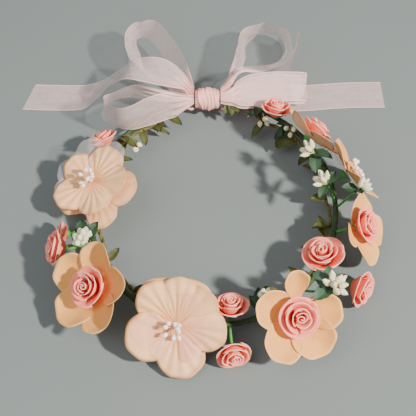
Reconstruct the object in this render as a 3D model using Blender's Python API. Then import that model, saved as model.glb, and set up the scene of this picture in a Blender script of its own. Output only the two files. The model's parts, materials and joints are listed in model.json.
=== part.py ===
# Flower crown: an open wire hoop with fabric blossoms, foam roses, bud sprays and a ribbon bow.
# The hoop lies level round the origin, +Z is up, and the bow is at the back, at +Y.

import math

import bpy
import bmesh
from mathutils import Matrix, Vector

MM = 0.001

# Hoop
HOOP_HALF_WIDTH = 80.0 * MM
HOOP_HALF_DEPTH = 90.0 * MM
HOOP_HEIGHT = 14.0 * MM
HOOP_STATIONS = 56
WIRE_RADIUS = 0.8 * MM
WRAP_CLEARANCE = 0.3 * MM
WRAP_WALL = 0.8 * MM
WRAP_START_ANGLE = 108.0
WRAP_END_ANGLE = 438.0
EYELET_RADIUS = 2.9 * MM
TOUCH_GAP = 0.3 * MM
WRAP_INNER_RADIUS = WIRE_RADIUS + WRAP_CLEARANCE
WRAP_OUTER_RADIUS = WRAP_INNER_RADIUS + WRAP_WALL

# Vine that winds along the inner side of the hoop
VINE_RADIUS = 0.9 * MM
VINE_SWAY = 2.4 * MM
VINE_DROP = 1.4 * MM
VINE_WAVES = 5
LEAF_THICKNESS = 0.7 * MM

# Stems and blossoms
STEM_RADIUS = 0.9 * MM
CALYX_HEIGHT = 3.4 * MM
CALYX_RADIUS = 3.8 * MM
PETAL_THICKNESS = 0.7 * MM
LAYER_GAP = 0.4 * MM
ROSE_FOOT_RADIUS = 3.2 * MM

# Bow, of one 25 mm ribbon
RIBBON_WIDTH = 25.0 * MM
RIBBON_THICKNESS = 0.6 * MM
STRAND_WIDTH = 7.0 * MM
STRAND_GAP = 0.4 * MM
KNOT_X = -4.0 * MM
KNOT_HALF_LENGTH = 9.0 * MM
KNOT_HALF_DEPTH = 8.0 * MM
KNOT_HALF_HEIGHT = 8.6 * MM
KNOT_CENTRE_HEIGHT = 17.2 * MM
TIE_RADIUS = 1.0 * MM
TIE_CLEARANCE = 0.9 * MM
GROUND_GAP = 0.25 * MM
EYELET_CLEARANCE = 5.0 * MM
EYELET_REACH = KNOT_HALF_LENGTH + EYELET_CLEARANCE
KNOT_SPRIG_CLEARANCE = 7.5 * MM

PETAL_CREAM = (0.86, 0.62, 0.43)
PETAL_TAN = (0.78, 0.52, 0.30)
ORGANZA_WHITE = (0.90, 0.86, 0.82)
FOAM_PINK = (0.93, 0.45, 0.42)
LEAF_DARK = (0.06, 0.13, 0.06)
LEAF_OLIVE = (0.17, 0.18, 0.04)
STEM_GREEN = (0.07, 0.25, 0.07)
RIBBON_PINK = (0.90, 0.68, 0.66)
PEARL_WHITE = (0.93, 0.83, 0.79)


def clear_scene():
    for old in list(bpy.data.objects):
        bpy.data.objects.remove(old, do_unlink=True)


def material(name, colour, roughness, metallic=0.0):
    mat = bpy.data.materials.get(name)
    if mat:
        return mat
    mat = bpy.data.materials.new(name)
    mat.use_nodes = True
    shader = mat.node_tree.nodes["Principled BSDF"]
    shader.inputs["Base Color"].default_value = (*colour, 1.0)
    shader.inputs["Roughness"].default_value = roughness
    shader.inputs["Metallic"].default_value = metallic
    return mat


# ---- shapes made by joining rings of points ----

def add_loft(bm, rings, closed=False):
    """Join rings of equally many points into one closed skin."""
    rows = [[bm.verts.new(p) for p in ring] for ring in rings]
    count = len(rows[0])
    pairs = list(zip(rows, rows[1:]))
    if closed:
        pairs.append((rows[-1], rows[0]))
    for low, high in pairs:
        for i in range(count):
            j = (i + 1) % count
            bm.faces.new((low[i], low[j], high[j], high[i]))
    if not closed:
        bm.faces.new(list(reversed(rows[0])))
        bm.faces.new(rows[-1])


def object_from(name, bm, mat, matrix=None, smooth=True):
    bmesh.ops.recalc_face_normals(bm, faces=bm.faces)
    mesh = bpy.data.meshes.new(name)
    bm.to_mesh(mesh)
    bm.free()
    if mat:
        mesh.materials.append(mat)
    if smooth:
        mesh.shade_smooth()
        mesh.set_sharp_from_angle(angle=math.radians(40))
    obj = bpy.data.objects.new(name, mesh)
    if matrix is not None:
        obj.matrix_world = matrix
    bpy.context.collection.objects.link(obj)
    return obj


def loft_object(name, rings, mat, closed=False, matrix=None):
    bm = bmesh.new()
    add_loft(bm, rings, closed)
    return object_from(name, bm, mat, matrix)


def unite(obj, bm):
    """Add the closed shapes in bm to obj, so that they are one body."""
    helper = object_from(obj.name + "_added", bm, None, obj.matrix_world.copy(), smooth=False)
    helper.hide_render = True
    helper.display_type = "WIRE"
    union = obj.modifiers.new("union", "BOOLEAN")
    union.operation = "UNION"
    union.solver = "EXACT"
    union.use_self = True
    union.object = helper


def smooth_rows(rows, steps):
    """Read a Catmull-Rom curve through rows of numbers, steps readings to a span."""
    ends = [rows[0]] + list(rows) + [rows[-1]]
    out = []
    for a, b, c, d in zip(ends, ends[1:], ends[2:], ends[3:]):
        for k in range(steps):
            t = k / steps
            out.append([
                0.5 * (2 * q + (r - p) * t + (2 * p - 5 * q + 4 * r - s) * t * t
                       + (3 * q - p - 3 * r + s) * t ** 3)
                for p, q, r, s in zip(a, b, c, d)])
    out.append(list(rows[-1]))
    return out


def path_frames(points):
    """Tangent and two sideways directions at each point, turned as little as possible."""
    points = [Vector(p) for p in points]
    tangents = []
    for i in range(len(points)):
        before = points[max(i - 1, 0)]
        after = points[min(i + 1, len(points) - 1)]
        tangents.append((after - before).normalized())
    side = tangents[0].orthogonal().normalized()
    frames = []
    for point, tangent in zip(points, tangents):
        side = (side - tangent * side.dot(tangent)).normalized()
        frames.append((point, side, tangent.cross(side)))
    return frames


def tube_rings(points, radii, sides):
    if not isinstance(radii, (list, tuple)):
        radii = [radii] * len(points)
    rings = []
    for (point, u, v), radius in zip(path_frames(points), radii):
        rings.append([
            point + (u * math.cos(a) + v * math.sin(a)) * radius
            for a in (2 * math.pi * k / sides for k in range(sides))])
    return rings


def turned_rings(profile, sides, scallop=0.0, lobes=5):
    """Rings for a turned solid, from (radius, height) pairs, with a wavy outline if asked."""
    rings = []
    for radius, height in profile:
        ring = []
        for k in range(sides):
            a = 2 * math.pi * k / sides
            r = radius * (1 + scallop * math.cos(lobes * a + height * 400))
            ring.append(Vector((r * math.cos(a), r * math.sin(a), height)))
        rings.append(ring)
    return rings


# ---- places on the hoop ----

def hoop_point(angle):
    a = math.radians(angle)
    return Vector((HOOP_HALF_WIDTH * math.cos(a), HOOP_HALF_DEPTH * math.sin(a), HOOP_HEIGHT))


def hoop_axes(angle):
    """Directions along, out of and up from the hoop at an angle round it."""
    a = math.radians(angle)
    along = Vector((-HOOP_HALF_WIDTH * math.sin(a), HOOP_HALF_DEPTH * math.cos(a), 0)).normalized()
    up = Vector((0, 0, 1))
    return along, along.cross(up), up


def hoop_place(angle, along, out, height):
    """A point given beside the hoop, its height measured from the ground."""
    d_along, d_out, _ = hoop_axes(angle)
    base = hoop_point(angle)
    point = base + d_along * along + d_out * out
    point.z = height
    return point


def hoop_direction(angle, turn, tilt):
    """A direction turned from straight outwards and tilted up from level, in degrees."""
    along, out, up = hoop_axes(angle)
    t, e = math.radians(turn), math.radians(tilt)
    level = out * math.cos(t) + along * math.sin(t)
    return (level * math.cos(e) + up * math.sin(e)).normalized()


def facing_matrix(centre, facing, spin):
    """Local +Z looks along facing, local +Y leans up, then the shape is spun about +Z."""
    z = facing.normalized()
    x = Vector((0, 0, 1)).cross(z).normalized()
    y = z.cross(x)
    frame = Matrix((x, y, z)).transposed().to_4x4()
    return Matrix.Translation(centre) @ frame @ Matrix.Rotation(math.radians(spin), 4, "Z")


def stem_foot(angle, target):
    """Where a stem towards target starts, just clear of the wrapped hoop."""
    along, _, _ = hoop_axes(angle)
    start = hoop_point(angle)
    way = (target - start).normalized()
    slant = abs(way.dot(along))
    reach = WRAP_OUTER_RADIUS + TOUCH_GAP + STEM_RADIUS * slant
    return start + way * (reach / math.sqrt(1 - slant * slant))


def bent_stem(angle, end, way, count=7):
    """Points of a stem that leaves the hoop and bends round to arrive at end along way."""
    behind = end - way * (end - hoop_point(angle)).length * 0.3
    foot = stem_foot(angle, behind)
    handle = foot.lerp(behind, 0.6)
    points = []
    for k in range(count):
        t = k / (count - 1)
        points.append(foot * (1 - t) ** 3 + handle * 3 * t * (1 - t) ** 2
                      + behind * 3 * t * t * (1 - t) + end * t ** 3)
    return points


# ---- hoop, wrap, eyelets and vine ----

def knot_point(x, y, z):
    return Vector((KNOT_X + x * MM, HOOP_HALF_DEPTH + y * MM, z * MM))


def eyelet_points(side):
    """The curled end of the wire, side -1 at the left and +1 at the right."""
    centre = Vector((KNOT_X + side * EYELET_REACH, HOOP_HALF_DEPTH, HOOP_HEIGHT - EYELET_RADIUS))
    points = []
    for k in range(15):
        turn = math.radians(275 - k * 275 / 14)
        points.append(centre + Vector((-side * math.sin(turn), 0, math.cos(turn))) * EYELET_RADIUS)
    return points


def hoop_stations():
    span = WRAP_END_ANGLE - WRAP_START_ANGLE
    return [hoop_point(WRAP_START_ANGLE + span * k / HOOP_STATIONS) for k in range(HOOP_STATIONS + 1)]


def build_hoop():
    steel = material("wire_steel", (0.45, 0.45, 0.44), 0.4, 0.9)
    tape = material("floral_tape", STEM_GREEN, 0.75)
    path = eyelet_points(-1) + hoop_stations() + list(reversed(eyelet_points(1)))
    loft_object("hoop_wire", tube_rings(path, WIRE_RADIUS, 6), steel)
    outer = tube_rings(hoop_stations(), WRAP_OUTER_RADIUS, 6)
    inner = tube_rings(hoop_stations(), WRAP_INNER_RADIUS, 6)
    loft_object("hoop_tape_wrap", outer + list(reversed(inner)), tape, closed=True)


def leaf_rings(base, way, length, width, roll=0.0):
    """A thin pointed leaf from base along way, its face turned by roll degrees from level."""
    z = way.normalized()
    flat = Vector((0, 0, 1)).cross(z)
    if flat.length < 0.05:
        flat = Vector((1, 0, 0)).cross(z)
    flat = Matrix.Rotation(math.radians(roll), 3, z) @ flat.normalized()
    face = z.cross(flat)
    rings = []
    for share, wide in ((0.0, 0.25), (0.2, 0.75), (0.5, 1.0), (0.8, 0.62), (1.0, 0.08)):
        centre = base + z * (length * share) - face * (length * 0.12 * share * share)
        half = width * wide / 2
        thick = LEAF_THICKNESS / 2 * (0.6 + 0.4 * wide)
        rings.append([centre + flat * half, centre + face * thick,
                      centre - flat * half, centre - face * thick])
    return rings


def vine_points(first, last, count):
    """The vine hugs the hoop's inner side, swaying in and out and dipping a little."""
    points = []
    near = WRAP_OUTER_RADIUS + TOUCH_GAP + VINE_RADIUS
    for k in range(count + 1):
        share = k / count
        angle = first + (last - first) * share
        sway = 0.5 - 0.5 * math.cos(2 * math.pi * VINE_WAVES * share)
        points.append(hoop_place(angle, 0, -near - VINE_SWAY * sway, HOOP_HEIGHT - VINE_DROP * (1 + sway)))
    return points


# Leaves on the vines: angle round the hoop, out, height, turn, tilt, length, width (mm and degrees)
VINE_LEAVES = {
    "vine_left": (
        (114, -6.0, 11.0, 200, 0, 11, 5), (118, -6.0, 11.0, 130, -10, 9, 4.5),
        (126, -6.0, 11.0, 215, -5, 12, 5.5), (131, -6.0, 11.0, 150, -12, 10, 5),
        (186, -7.0, 11.0, 175, 0, 10, 3), (231, -5.5, 11.0, 150, 35, 9, 4.5)),
    "vine_right": (
        (60, -6.0, 11.0, 165, -15, 13, 6), (47, -6.0, 11.0, 190, -15, 14, 6.5),
        (41, -6.0, 11.0, 160, -5, 12, 5.5), (350, -6.0, 12.0, 210, 25, 12, 6),
        (344, -6.0, 12.0, 120, 20, 13, 6), (335, -6.0, 12.0, 190, 20, 11, 3.5)),
}


def build_vines():
    olive = material("vine_olive", LEAF_OLIVE, 0.7)
    for name, first, last in (("vine_left", 112.0, 236.0), ("vine_right", 72.0, -62.0)):
        points = vine_points(first, last, 26)
        vine = loft_object(name, tube_rings(points, VINE_RADIUS, 5), olive)
        bm = bmesh.new()
        for angle, out, height, turn, tilt, length, width in VINE_LEAVES[name]:
            nearest = min(points, key=lambda p: (p - hoop_place(angle, 0, out * MM, height * MM)).length)
            way = hoop_direction(angle % 360, turn, tilt)
            add_loft(bm, leaf_rings(nearest, way, length * MM, width * MM))
        unite(vine, bm)


# Where the hoop is just clear of the knot's right end
KNOT_SPRIG_X = KNOT_X + KNOT_HALF_LENGTH + KNOT_SPRIG_CLEARANCE
KNOT_SPRIG_ANGLE = math.degrees(math.acos(KNOT_SPRIG_X / HOOP_HALF_WIDTH))

# Sprigs: angle, then leaves as (along, out, height, turn, tilt, length, width) and berries as
# (along, out, height, turn, tilt, length); all of them start at the sprig's foot.
SPRIGS = {
    "sprig_beside_knot": (KNOT_SPRIG_ANGLE, (
        (200, -20, 12, 6), (165, -5, 11, 5.5), (235, -25, 11, 5), (130, -20, 9, 5)), ()),
    "sprig_back": (64.5, (
        (210, 5, 12, 7), (170, 25, 11, 6), (150, -5, 12, 5.5)), ((230, -15, 14), (205, -30, 13), (222, 5, 13))),
    "sprig_right_back": (47, (
        (200, 5, 12, 7), (175, -10, 15, 6), (150, 30, 11, 6)), ((225, 10, 13), (205, 35, 13), (240, 30, 12))),
    "sprig_left": (143, (
        (150, 35, 12, 7), (180, 0, 13, 6), (205, -15, 13, 6), (125, 10, 11, 5.5)),
        ((170, -10, 15), (182, -22, 14), (192, -8, 15))),
    "sprig_front": (291, (
        (160, 35, 14, 8), (185, 10, 11, 6), (200, 40, 11, 6)), ((140, 50, 14), (125, 40, 15), (150, 62, 13))),
}


def bud_rings(base, way, stalk, length, radius, sides=4):
    """A bud on a thin stalk, in rings along way."""
    z = way.normalized()
    marks = ((0.0, 0.5 * MM), (stalk, 0.5 * MM), (stalk + 0.3 * length, radius),
             (stalk + 0.72 * length, radius * 0.92), (stalk + length, radius * 0.25))
    points = [base + z * along for along, _ in marks]
    return tube_rings(points, [r for _, r in marks], sides)


def build_sprigs():
    dark = material("leaf_dark", LEAF_DARK, 0.65)
    for name, (angle, leaves, berries) in SPRIGS.items():
        fork = hoop_place(angle, 0, -2.2 * MM, HOOP_HEIGHT + 4.6 * MM)
        foot = stem_foot(angle, fork)
        stem = loft_object(name, tube_rings([foot, (foot + fork) / 2, fork], STEM_RADIUS, 6), dark)
        bm = bmesh.new()
        for turn, tilt, length, width in leaves:
            way = hoop_direction(angle, turn, tilt)
            start = fork - way * 0.4 * MM
            add_loft(bm, leaf_rings(start, way, length * MM, width * MM))
        for turn, tilt, length in berries:
            way = hoop_direction(angle, turn, tilt)
            add_loft(bm, bud_rings(fork, way, (length - 4) * MM, 4 * MM, 1.5 * MM))
        unite(stem, bm)


# ---- blossoms and roses ----

def petal_rings(radius, cup, notch, base=0.0, lobes=5, per_lobe=4):
    """A ring of petals as one thin dished plate, notched between the petals."""
    count = lobes * per_lobe
    shares = (0.18, 0.62, 1.0)

    def skin(lift):
        rings = []
        for share in shares:
            ring = []
            for k in range(count):
                a = 2 * math.pi * k / count
                lobe = abs(math.cos(lobes * a / 2)) ** 0.45
                reach = radius * (notch + (1 - notch) * lobe)
                r = radius * shares[0] if share == shares[0] else reach * share
                rise = cup * max(0.0, (r / radius - 0.3) / 0.7) ** 1.5
                ring.append(Vector((r * math.cos(a), r * math.sin(a), base + rise + lift)))
            rings.append(ring)
        return rings

    return skin(0.0) + list(reversed(skin(PETAL_THICKNESS)))


def calyx_stem_rings(matrix, angle):
    """A stem from the hoop that opens into the cup under the petals."""
    z = matrix.to_3x3() @ Vector((0, 0, 1))
    centre = matrix.translation
    bottom = centre - z * CALYX_HEIGHT
    stem = bent_stem(angle, bottom, z)
    points = stem + [centre - z * CALYX_HEIGHT * 0.45, centre]
    radii = [STEM_RADIUS] * (len(stem) - 1) + [STEM_RADIUS * 1.3, CALYX_RADIUS * 0.8, CALYX_RADIUS]
    return tube_rings(points, radii, 8)


def rose_profile(radius, base):
    """Half outline of a foam rose, (radius, height) from its foot up."""
    tall = radius * 1.12
    return ((ROSE_FOOT_RADIUS, base), (radius * 0.72, base + tall * 0.2), (radius, base + tall * 0.5),
            (radius * 0.86, base + tall * 0.86), (radius * 0.5, base + tall),
            (radius * 0.15, base + tall * 0.94))


def pearl_cluster(name, matrix, base, mat):
    """Pearl stamens on threads, standing on a small foot."""
    foot = turned_rings(((2.6 * MM, base), (2.6 * MM, base + 0.7 * MM), (1.2 * MM, base + 1.6 * MM)), 8)
    cluster = loft_object(name, foot, mat, matrix=matrix)
    bm = bmesh.new()
    for k in range(8):
        a = math.radians(k * 137.5)
        lean = math.radians(16 + 5.5 * k)
        way = Vector((math.sin(lean) * math.cos(a), math.sin(lean) * math.sin(a), math.cos(lean)))
        start = Vector((0, 0, base + 0.9 * MM))
        add_loft(bm, bud_rings(start, way, 5.2 * MM, 4.2 * MM, 1.55 * MM))
    unite(cluster, bm)


# Blossoms: angle round the hoop, out, height, turn, tilt, spin, petal radius, cup, then what it holds.
BLOSSOMS = {
    "front_blossom": dict(place=(255.5, 6.5, 21.0), face=(9, 44), spin=64, radius=29.5, cup=5.0,
                          notch=0.42, back=True, organza=True, centre="pearls", colour="cream"),
    "left_blossom": dict(place=(173.0, -2.0, 21.5), face=(28, 68), spin=20, radius=28.5, cup=5.0,
                         notch=0.42, back=True, organza=True, centre="pearls", colour="cream"),
    "left_front_blossom": dict(place=(223.0, 15.0, 24.0), face=(-8, 52), spin=50, radius=28.0, cup=7.0,
                               notch=0.36, centre="rose", rose=11.5, colour="tan"),
    "right_front_blossom": dict(place=(301.0, 13.6, 23.5), face=(-17, 50), spin=2, radius=27.0, cup=7.0,
                                notch=0.36, centre="rose", rose=12.5, colour="tan"),
    "right_blossom": dict(place=(345.5, 12.5, 24.0), face=(0, 36), spin=66, radius=24.0, cup=6.0,
                          notch=0.36, centre="rose", rose=12.0, colour="tan"),
    "right_back_blossom": dict(place=(11.0, 9.0, 22.0), face=(10, 32), spin=0, radius=25.5, cup=8.0,
                               notch=0.36, organza=True, centre="pearls", colour="tan"),
    "back_blossom": dict(place=(33.0, -3.0, 25.0), face=(10, 30), spin=74, radius=24.5, cup=7.0,
                         notch=0.36, centre="rose", rose=10.5, colour="cream"),
}


def build_blossom(name, spec):
    angle, out, height = spec["place"]
    centre = hoop_place(angle, 0, out * MM, height * MM)
    matrix = facing_matrix(centre, hoop_direction(angle, *spec["face"]), spec["spin"])
    radius, cup = spec["radius"] * MM, spec["cup"] * MM
    tint = PETAL_CREAM if spec["colour"] == "cream" else PETAL_TAN
    petal = material("petal_" + spec["colour"], tint, 0.75)
    loft_object(name + "_calyx", calyx_stem_rings(matrix, angle), material("calyx_green", STEM_GREEN, 0.7))

    level = TOUCH_GAP
    if spec.get("back"):
        rings = petal_rings(radius * 0.94, cup * 0.8, spec["notch"], base=level)
        turned = matrix @ Matrix.Rotation(math.radians(36), 4, "Z")
        loft_object(name + "_back_petals", rings, petal, matrix=turned)
        level += PETAL_THICKNESS + LAYER_GAP + 0.6 * MM
    loft_object(name + "_petals", petal_rings(radius, cup, spec["notch"], base=level), petal, matrix=matrix)
    level += PETAL_THICKNESS + LAYER_GAP
    if spec.get("organza"):
        sheer = material("organza_white", ORGANZA_WHITE, 0.5)
        rings = petal_rings(radius * 0.72, cup * 0.55 + 1.6 * MM, 0.55, base=level)
        loft_object(name + "_organza", rings, sheer, matrix=matrix)
        level += PETAL_THICKNESS + LAYER_GAP
    if spec["centre"] == "pearls":
        pearl_cluster(name + "_pearls", matrix, level, material("pearl", PEARL_WHITE, 0.25))
    else:
        rings = turned_rings(rose_profile(spec["rose"] * MM, level), 12, 0.05)
        loft_object(name + "_rose", rings, material("foam_pink", FOAM_PINK, 0.85), matrix=matrix)


# Foam roses on their own stems: angle, out, height of the rose's middle, turn, tilt, radius
ROSES = {
    "rose_front_upper": (278.0, -6.0, 24.5, 171, 68, 10.5),
    "rose_front_lower": (277.0, 18.5, 11.5, 3, 12, 10.5),
    "rose_left_outer": (199.5, 24.0, 18.5, -10, 22, 11.0),
    "rose_left_upper": (190.5, 19.0, 9.0, -10, 12, 7.5),
    "rose_left_lower": (207.5, 27.0, 7.0, -5, 5, 6.0),
    "rose_upper_left": (149.5, 6.5, 21.5, -25, 48, 10.0),
    "rose_right_inner": (328.5, -0.5, 25.0, 176, 78, 12.5),
    "rose_right_outer": (327.0, 28.0, 12.4, -2, 12, 11.5),
    "rose_back": (56.0, -1.5, 25.0, 20, 70, 10.5),
}


def build_rose(name, spec):
    angle, out, height, turn, tilt, radius = spec
    centre = hoop_place(angle, 0, out * MM, height * MM)
    facing = hoop_direction(angle, turn, tilt)
    size = radius * MM
    base = centre - facing * size * 0.56
    neck = base - facing * 1.2 * MM
    foot = stem_foot(angle, neck)
    rings = tube_rings([foot, (foot + neck) / 2, neck], STEM_RADIUS, 12)
    matrix = facing_matrix(base, facing, 0)
    start = matrix.inverted() @ (rings[-1][0])
    spin = math.atan2(start.y, start.x)
    turned = matrix @ Matrix.Rotation(spin, 4, "Z")
    head = [[turned @ p for p in ring] for ring in turned_rings(rose_profile(size, 0.0), 12, 0.05)]
    loft_object(name, rings + head, material("foam_pink", FOAM_PINK, 0.85))


# ---- bud sprays, each on a wire stem that bends at its foot ----

# angle of the foot; base of the fan (along, out, height); fan direction (turn, tilt); spread;
# number, stalk, length and radius of the buds; leaves as (turn, tilt, length, width)
SPRAYS = {
    "spray_back": dict(angle=21.5, base=(-6.0, -12.0, 39.0), fan=(150, 32), spread=46, buds=8,
                       stalk=3.0, length=7.5, radius=1.6, leaves=((-60, 30, 12, 7), (-110, -10, 13, 6.5))),
    "spray_right_back": dict(angle=0.0, base=(1.0, -8.0, 35.0), fan=(165, 45), spread=46, buds=8,
                             stalk=3.0, length=7.5, radius=1.6, leaves=((60, 10, 10, 5), (-120, 0, 10, 5))),
    "spray_right": dict(angle=358.0, base=(-1.0, 12.5, 36.5), fan=(5, 55), spread=38, buds=8,
                        stalk=3.0, length=7.0, radius=1.6, leaves=((-175, 25, 10, 6), (-70, 10, 11, 6))),
    "spray_right_front": dict(angle=313.0, base=(2.0, 20.0, 39.0), fan=(30, 68), spread=62, buds=8,
                              stalk=3.2, length=8.0, radius=1.7, leaves=((190, 20, 12, 8), (-100, 5, 12, 8),
                                                                         (140, 15, 12, 7))),
    "spray_left": dict(angle=205.0, base=(0.0, 7.5, 33.0), fan=(-20, 72), spread=70, buds=11,
                       stalk=3.6, length=4.6, radius=1.9, leaves=((-100, 20, 12, 8), (-150, 25, 12, 7))),
}


def build_spray(name, spec):
    """Stem, leaves and buds in one body, with its origin at the stem's foot."""
    angle = spec["angle"]
    along, out, height = spec["base"]
    base = hoop_place(angle, along * MM, out * MM, height * MM)
    foot = stem_foot(angle, base) + (base - hoop_point(angle)).normalized() * TOUCH_GAP
    fan = hoop_direction(angle, *spec["fan"])
    frame = facing_matrix(Vector((0, 0, 0)), fan, 0)
    reach = base - foot
    bend = fan * reach.length * 0.12
    stem_points = [Vector((0, 0, 0)), reach * 0.4 - bend, reach * 0.8 - bend, reach]
    mat = material("spray_green", STEM_GREEN, 0.6)
    stem = loft_object(name, tube_rings(stem_points, STEM_RADIUS, 6), mat, matrix=Matrix.Translation(foot))
    bm = bmesh.new()
    for k in range(spec["buds"]):
        turn = math.radians(k * 137.5)
        lean = math.radians(spec["spread"]) * math.sqrt((k + 0.6) / spec["buds"])
        way = frame.to_3x3() @ Vector((math.sin(lean) * math.cos(turn), math.sin(lean) * math.sin(turn),
                                       math.cos(lean)))
        add_loft(bm, bud_rings(reach - fan * 0.3 * MM, way, spec["stalk"] * MM, spec["length"] * MM,
                               spec["radius"] * MM))
    for turn, tilt, length, width in spec["leaves"]:
        way = hoop_direction(angle, turn, tilt)
        add_loft(bm, leaf_rings(reach - fan * 1.2 * MM, way, length * MM, width * MM))
    unite(stem, bm)


# ---- ribbon bow ----

# Rows are (x, y, z) of the ribbon's middle and (x, y, z) across its width, in mm; x and y are
# measured from the knot and z from the ground.
LEFT_FACE = -(KNOT_HALF_LENGTH + STRAND_GAP) / MM
RIGHT_FACE = -LEFT_FACE
STRAND = STRAND_WIDTH / MM
FLAT = (RIBBON_THICKNESS / 2 + GROUND_GAP) / MM
RIBBONS = {
    "ribbon_loop_left_lower": (
        (LEFT_FACE, -5.0, 20.5, 0, 0, STRAND), (-21.6, -12.6, 24, -4, 5, 16), (-29, -15.8, 26.6, -2, 8, 18.5),
        (-40.5, -22.0, 28, 1, 6, 22), (-51.4, -27.5, 28, 2, 2, 22.5), (-61, -27, 27.5, 3, -3, 22),
        (-70.5, -17, 26, 4, -8, 21), (-67, -7, 25.5, 4, -10, 20), (-55.3, -1.3, 25.5, 2, -8, 19.5),
        (-45.5, -1.3, 25.5, 1, -4.4, 19), (-32.9, -3.2, 24, 0.7, 0.3, 14), (-19.8, -3.2, 21.5, 0.3, 0.8, 9.5),
        (LEFT_FACE, -2.4, 20.5, 0, 0, STRAND)),
    "ribbon_loop_left_upper": (
        (LEFT_FACE, 5.4, 20, 0, 0.5, STRAND), (-13, 13, 21, 3, 1, 13), (-18.3, 25.2, 21.5, 6, -3, 19),
        (-27.4, 43.2, 21.5, 5.2, 0.3, 23), (-39.3, 61.4, 22, 3.3, -0.9, 22.5), (-50.6, 63, 22.5, -0.1, -8, 21.5),
        (-54.6, 52.1, 22, -8.4, -10, 20), (-53.1, 37.5, 21, -9, -7, 18.5), (-47.6, 25.5, 20, -8, -3, 15.5),
        (-30, 12, 20, -5, -2, 11.5), (LEFT_FACE, 2.8, 20, 0, 0.5, STRAND)),
    "ribbon_tail_left": (
        (LEFT_FACE, 0.2, 20.5, 0, 0.5, STRAND), (-14, 1.2, 28.5, -0.5, 5, 6), (-20, 2.8, 34, -1, 15, 5),
        (-31, 5.2, 38.5, 2.7, 24, 0.5), (-43.5, 7.5, 39.5, 3.8, 24, -1), (-54.7, 10.5, 36, 3, 22, -4),
        (-65.3, 13, 25, 2.8, 20, -9), (-76, 15.8, 11, 0, 22.5, -8), (-88, 16.3, 2, 0, 24, -1),
        (-100, 16.2, FLAT, 3, 24.5, 0), (-115, 16.5, FLAT, 5.5, 24.3, 0), (-130.5, 17, FLAT, 6.7, 24, 0)),
    "ribbon_loop_right_upper": (
        (RIGHT_FACE, 5.4, 21, 0, -0.5, STRAND), (15.7, 11.5, 22, -3, -3.5, 8.5), (19, 24, 20.8, -4, -8, 12),
        (23.4, 41.2, 17, -5.7, -11.8, 18),
        (27.8, 58.8, 16, -6.8, -14, 19), (35.9, 68.8, 15.5, -3.3, -13.4, 21), (43.5, 72.5, 15.5, -0.6, -12.5, 21),
        (54.5, 66.2, 15.5, 0.4, -15, 20), (58.4, 55.1, 15.5, 1.5, -16.5, 18.5), (54.9, 40.7, 16.5, 1.2, -18, 17),
        (47.5, 31, 20, 0.8, -18.5, 16), (35.7, 22, 25, 0.2, -17, 12), (24, 13, 31.5, -0.3, -9, 7),
        (18, 7.6, 29.5, 0, -4, 7), (13.6, 4.6, 24.6, 0, -1, 7.3), (RIGHT_FACE, 2.8, 21, 0, -0.5, STRAND)),
    "ribbon_loop_right_flat": (
        (RIGHT_FACE, -2.8, 22.5, 0, STRAND, 0.3), (14, -3.2, 23.2, 0, 9, 1), (18, -2.8, 23.6, 0, 12, 2),
        (24, -1.2, 23.4, 0, 20, 4),
        (35.7, 4.6, 22.2, 1.3, 24.5, 4.5), (52.6, 10.8, 18.5, 0.8, 24.6, 4.2), (68.4, 13.8, 15, 0, 24.6, 3.5),
        (70.6, 14.0, 13.4, 0, 24.6, 3.5), (68.4, 14.3, 11.8, 0, 24.6, 3.5),
        (52.6, 10.8, 15.6, 0.8, 24.6, 4.2), (35.7, 4.6, 19.4, 1.3, 24.5, 4.5), (24, -1.2, 20.7, 0, 20, 4),
        (18, -2.8, 20.8, 0, 12, 2), (14, -3.2, 20.4, 0, 9, 1), (RIGHT_FACE, -2.8, 19.6, 0, STRAND, 0.3)),
    "ribbon_tail_short": (
        (RIGHT_FACE, 4.4, 16.0, 0, 5, 0), (19, 9.6, 13.8, -1, 9, 0), (34, 16, 9.5, -2, 17, 0),
        (45, 22, 7.5, -1, 20, -2), (53, 31.5, 8.8, -1, 18, -5), (60, 41, 14, -0.5, 19, -14),
        (63.8, 48, 18, 0, 18.5, -16.5), (65.5, 53, 19.5, 1, 18, -17), (66, 59, 20, 1, 16, -15)),
    "ribbon_tail_right": (
        (RIGHT_FACE, 4.4, 13.6, 0, 5, 0), (15, 7.5, 13.1, 0, 9, 0), (20, 11, 9.5, 0, 13, 0), (29, 15, 6, 0, 20, 0.5),
        (41, 14.8, 3.4, 0, 24.5, 0.5), (59.7, 14.5, 1.6, 1, 24.8, 0.3), (78, 16.5, FLAT, 1.7, 24.8, 0),
        (93, 18, FLAT, 1.6, 24.8, 0), (111, 19, FLAT, 0.5, 25, 0), (128, 19, FLAT, -0.9, 25, 0)),
}


def ribbon_rings(rows):
    samples = smooth_rows(rows, 2)
    centres = [knot_point(*s[:3]) for s in samples]
    rings = []
    for i, sample in enumerate(samples):
        across = Vector(sample[3:])
        width = min(across.length * MM, RIBBON_WIDTH)
        before = centres[max(i - 1, 0)]
        after = centres[min(i + 1, len(centres) - 1)]
        tangent = (after - before).normalized()
        if abs(abs(sample[0]) - RIGHT_FACE) < 0.01:
            tangent = Vector((math.copysign(1, tangent.x), 0, 0))
        across = (across - tangent * across.dot(tangent)).normalized()
        half = across * width / 2
        thick = tangent.cross(across) * RIBBON_THICKNESS / 2
        centre = centres[i]
        rings.append([centre - half - thick, centre + half - thick,
                      centre + half + thick, centre - half + thick])
    return rings


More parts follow.
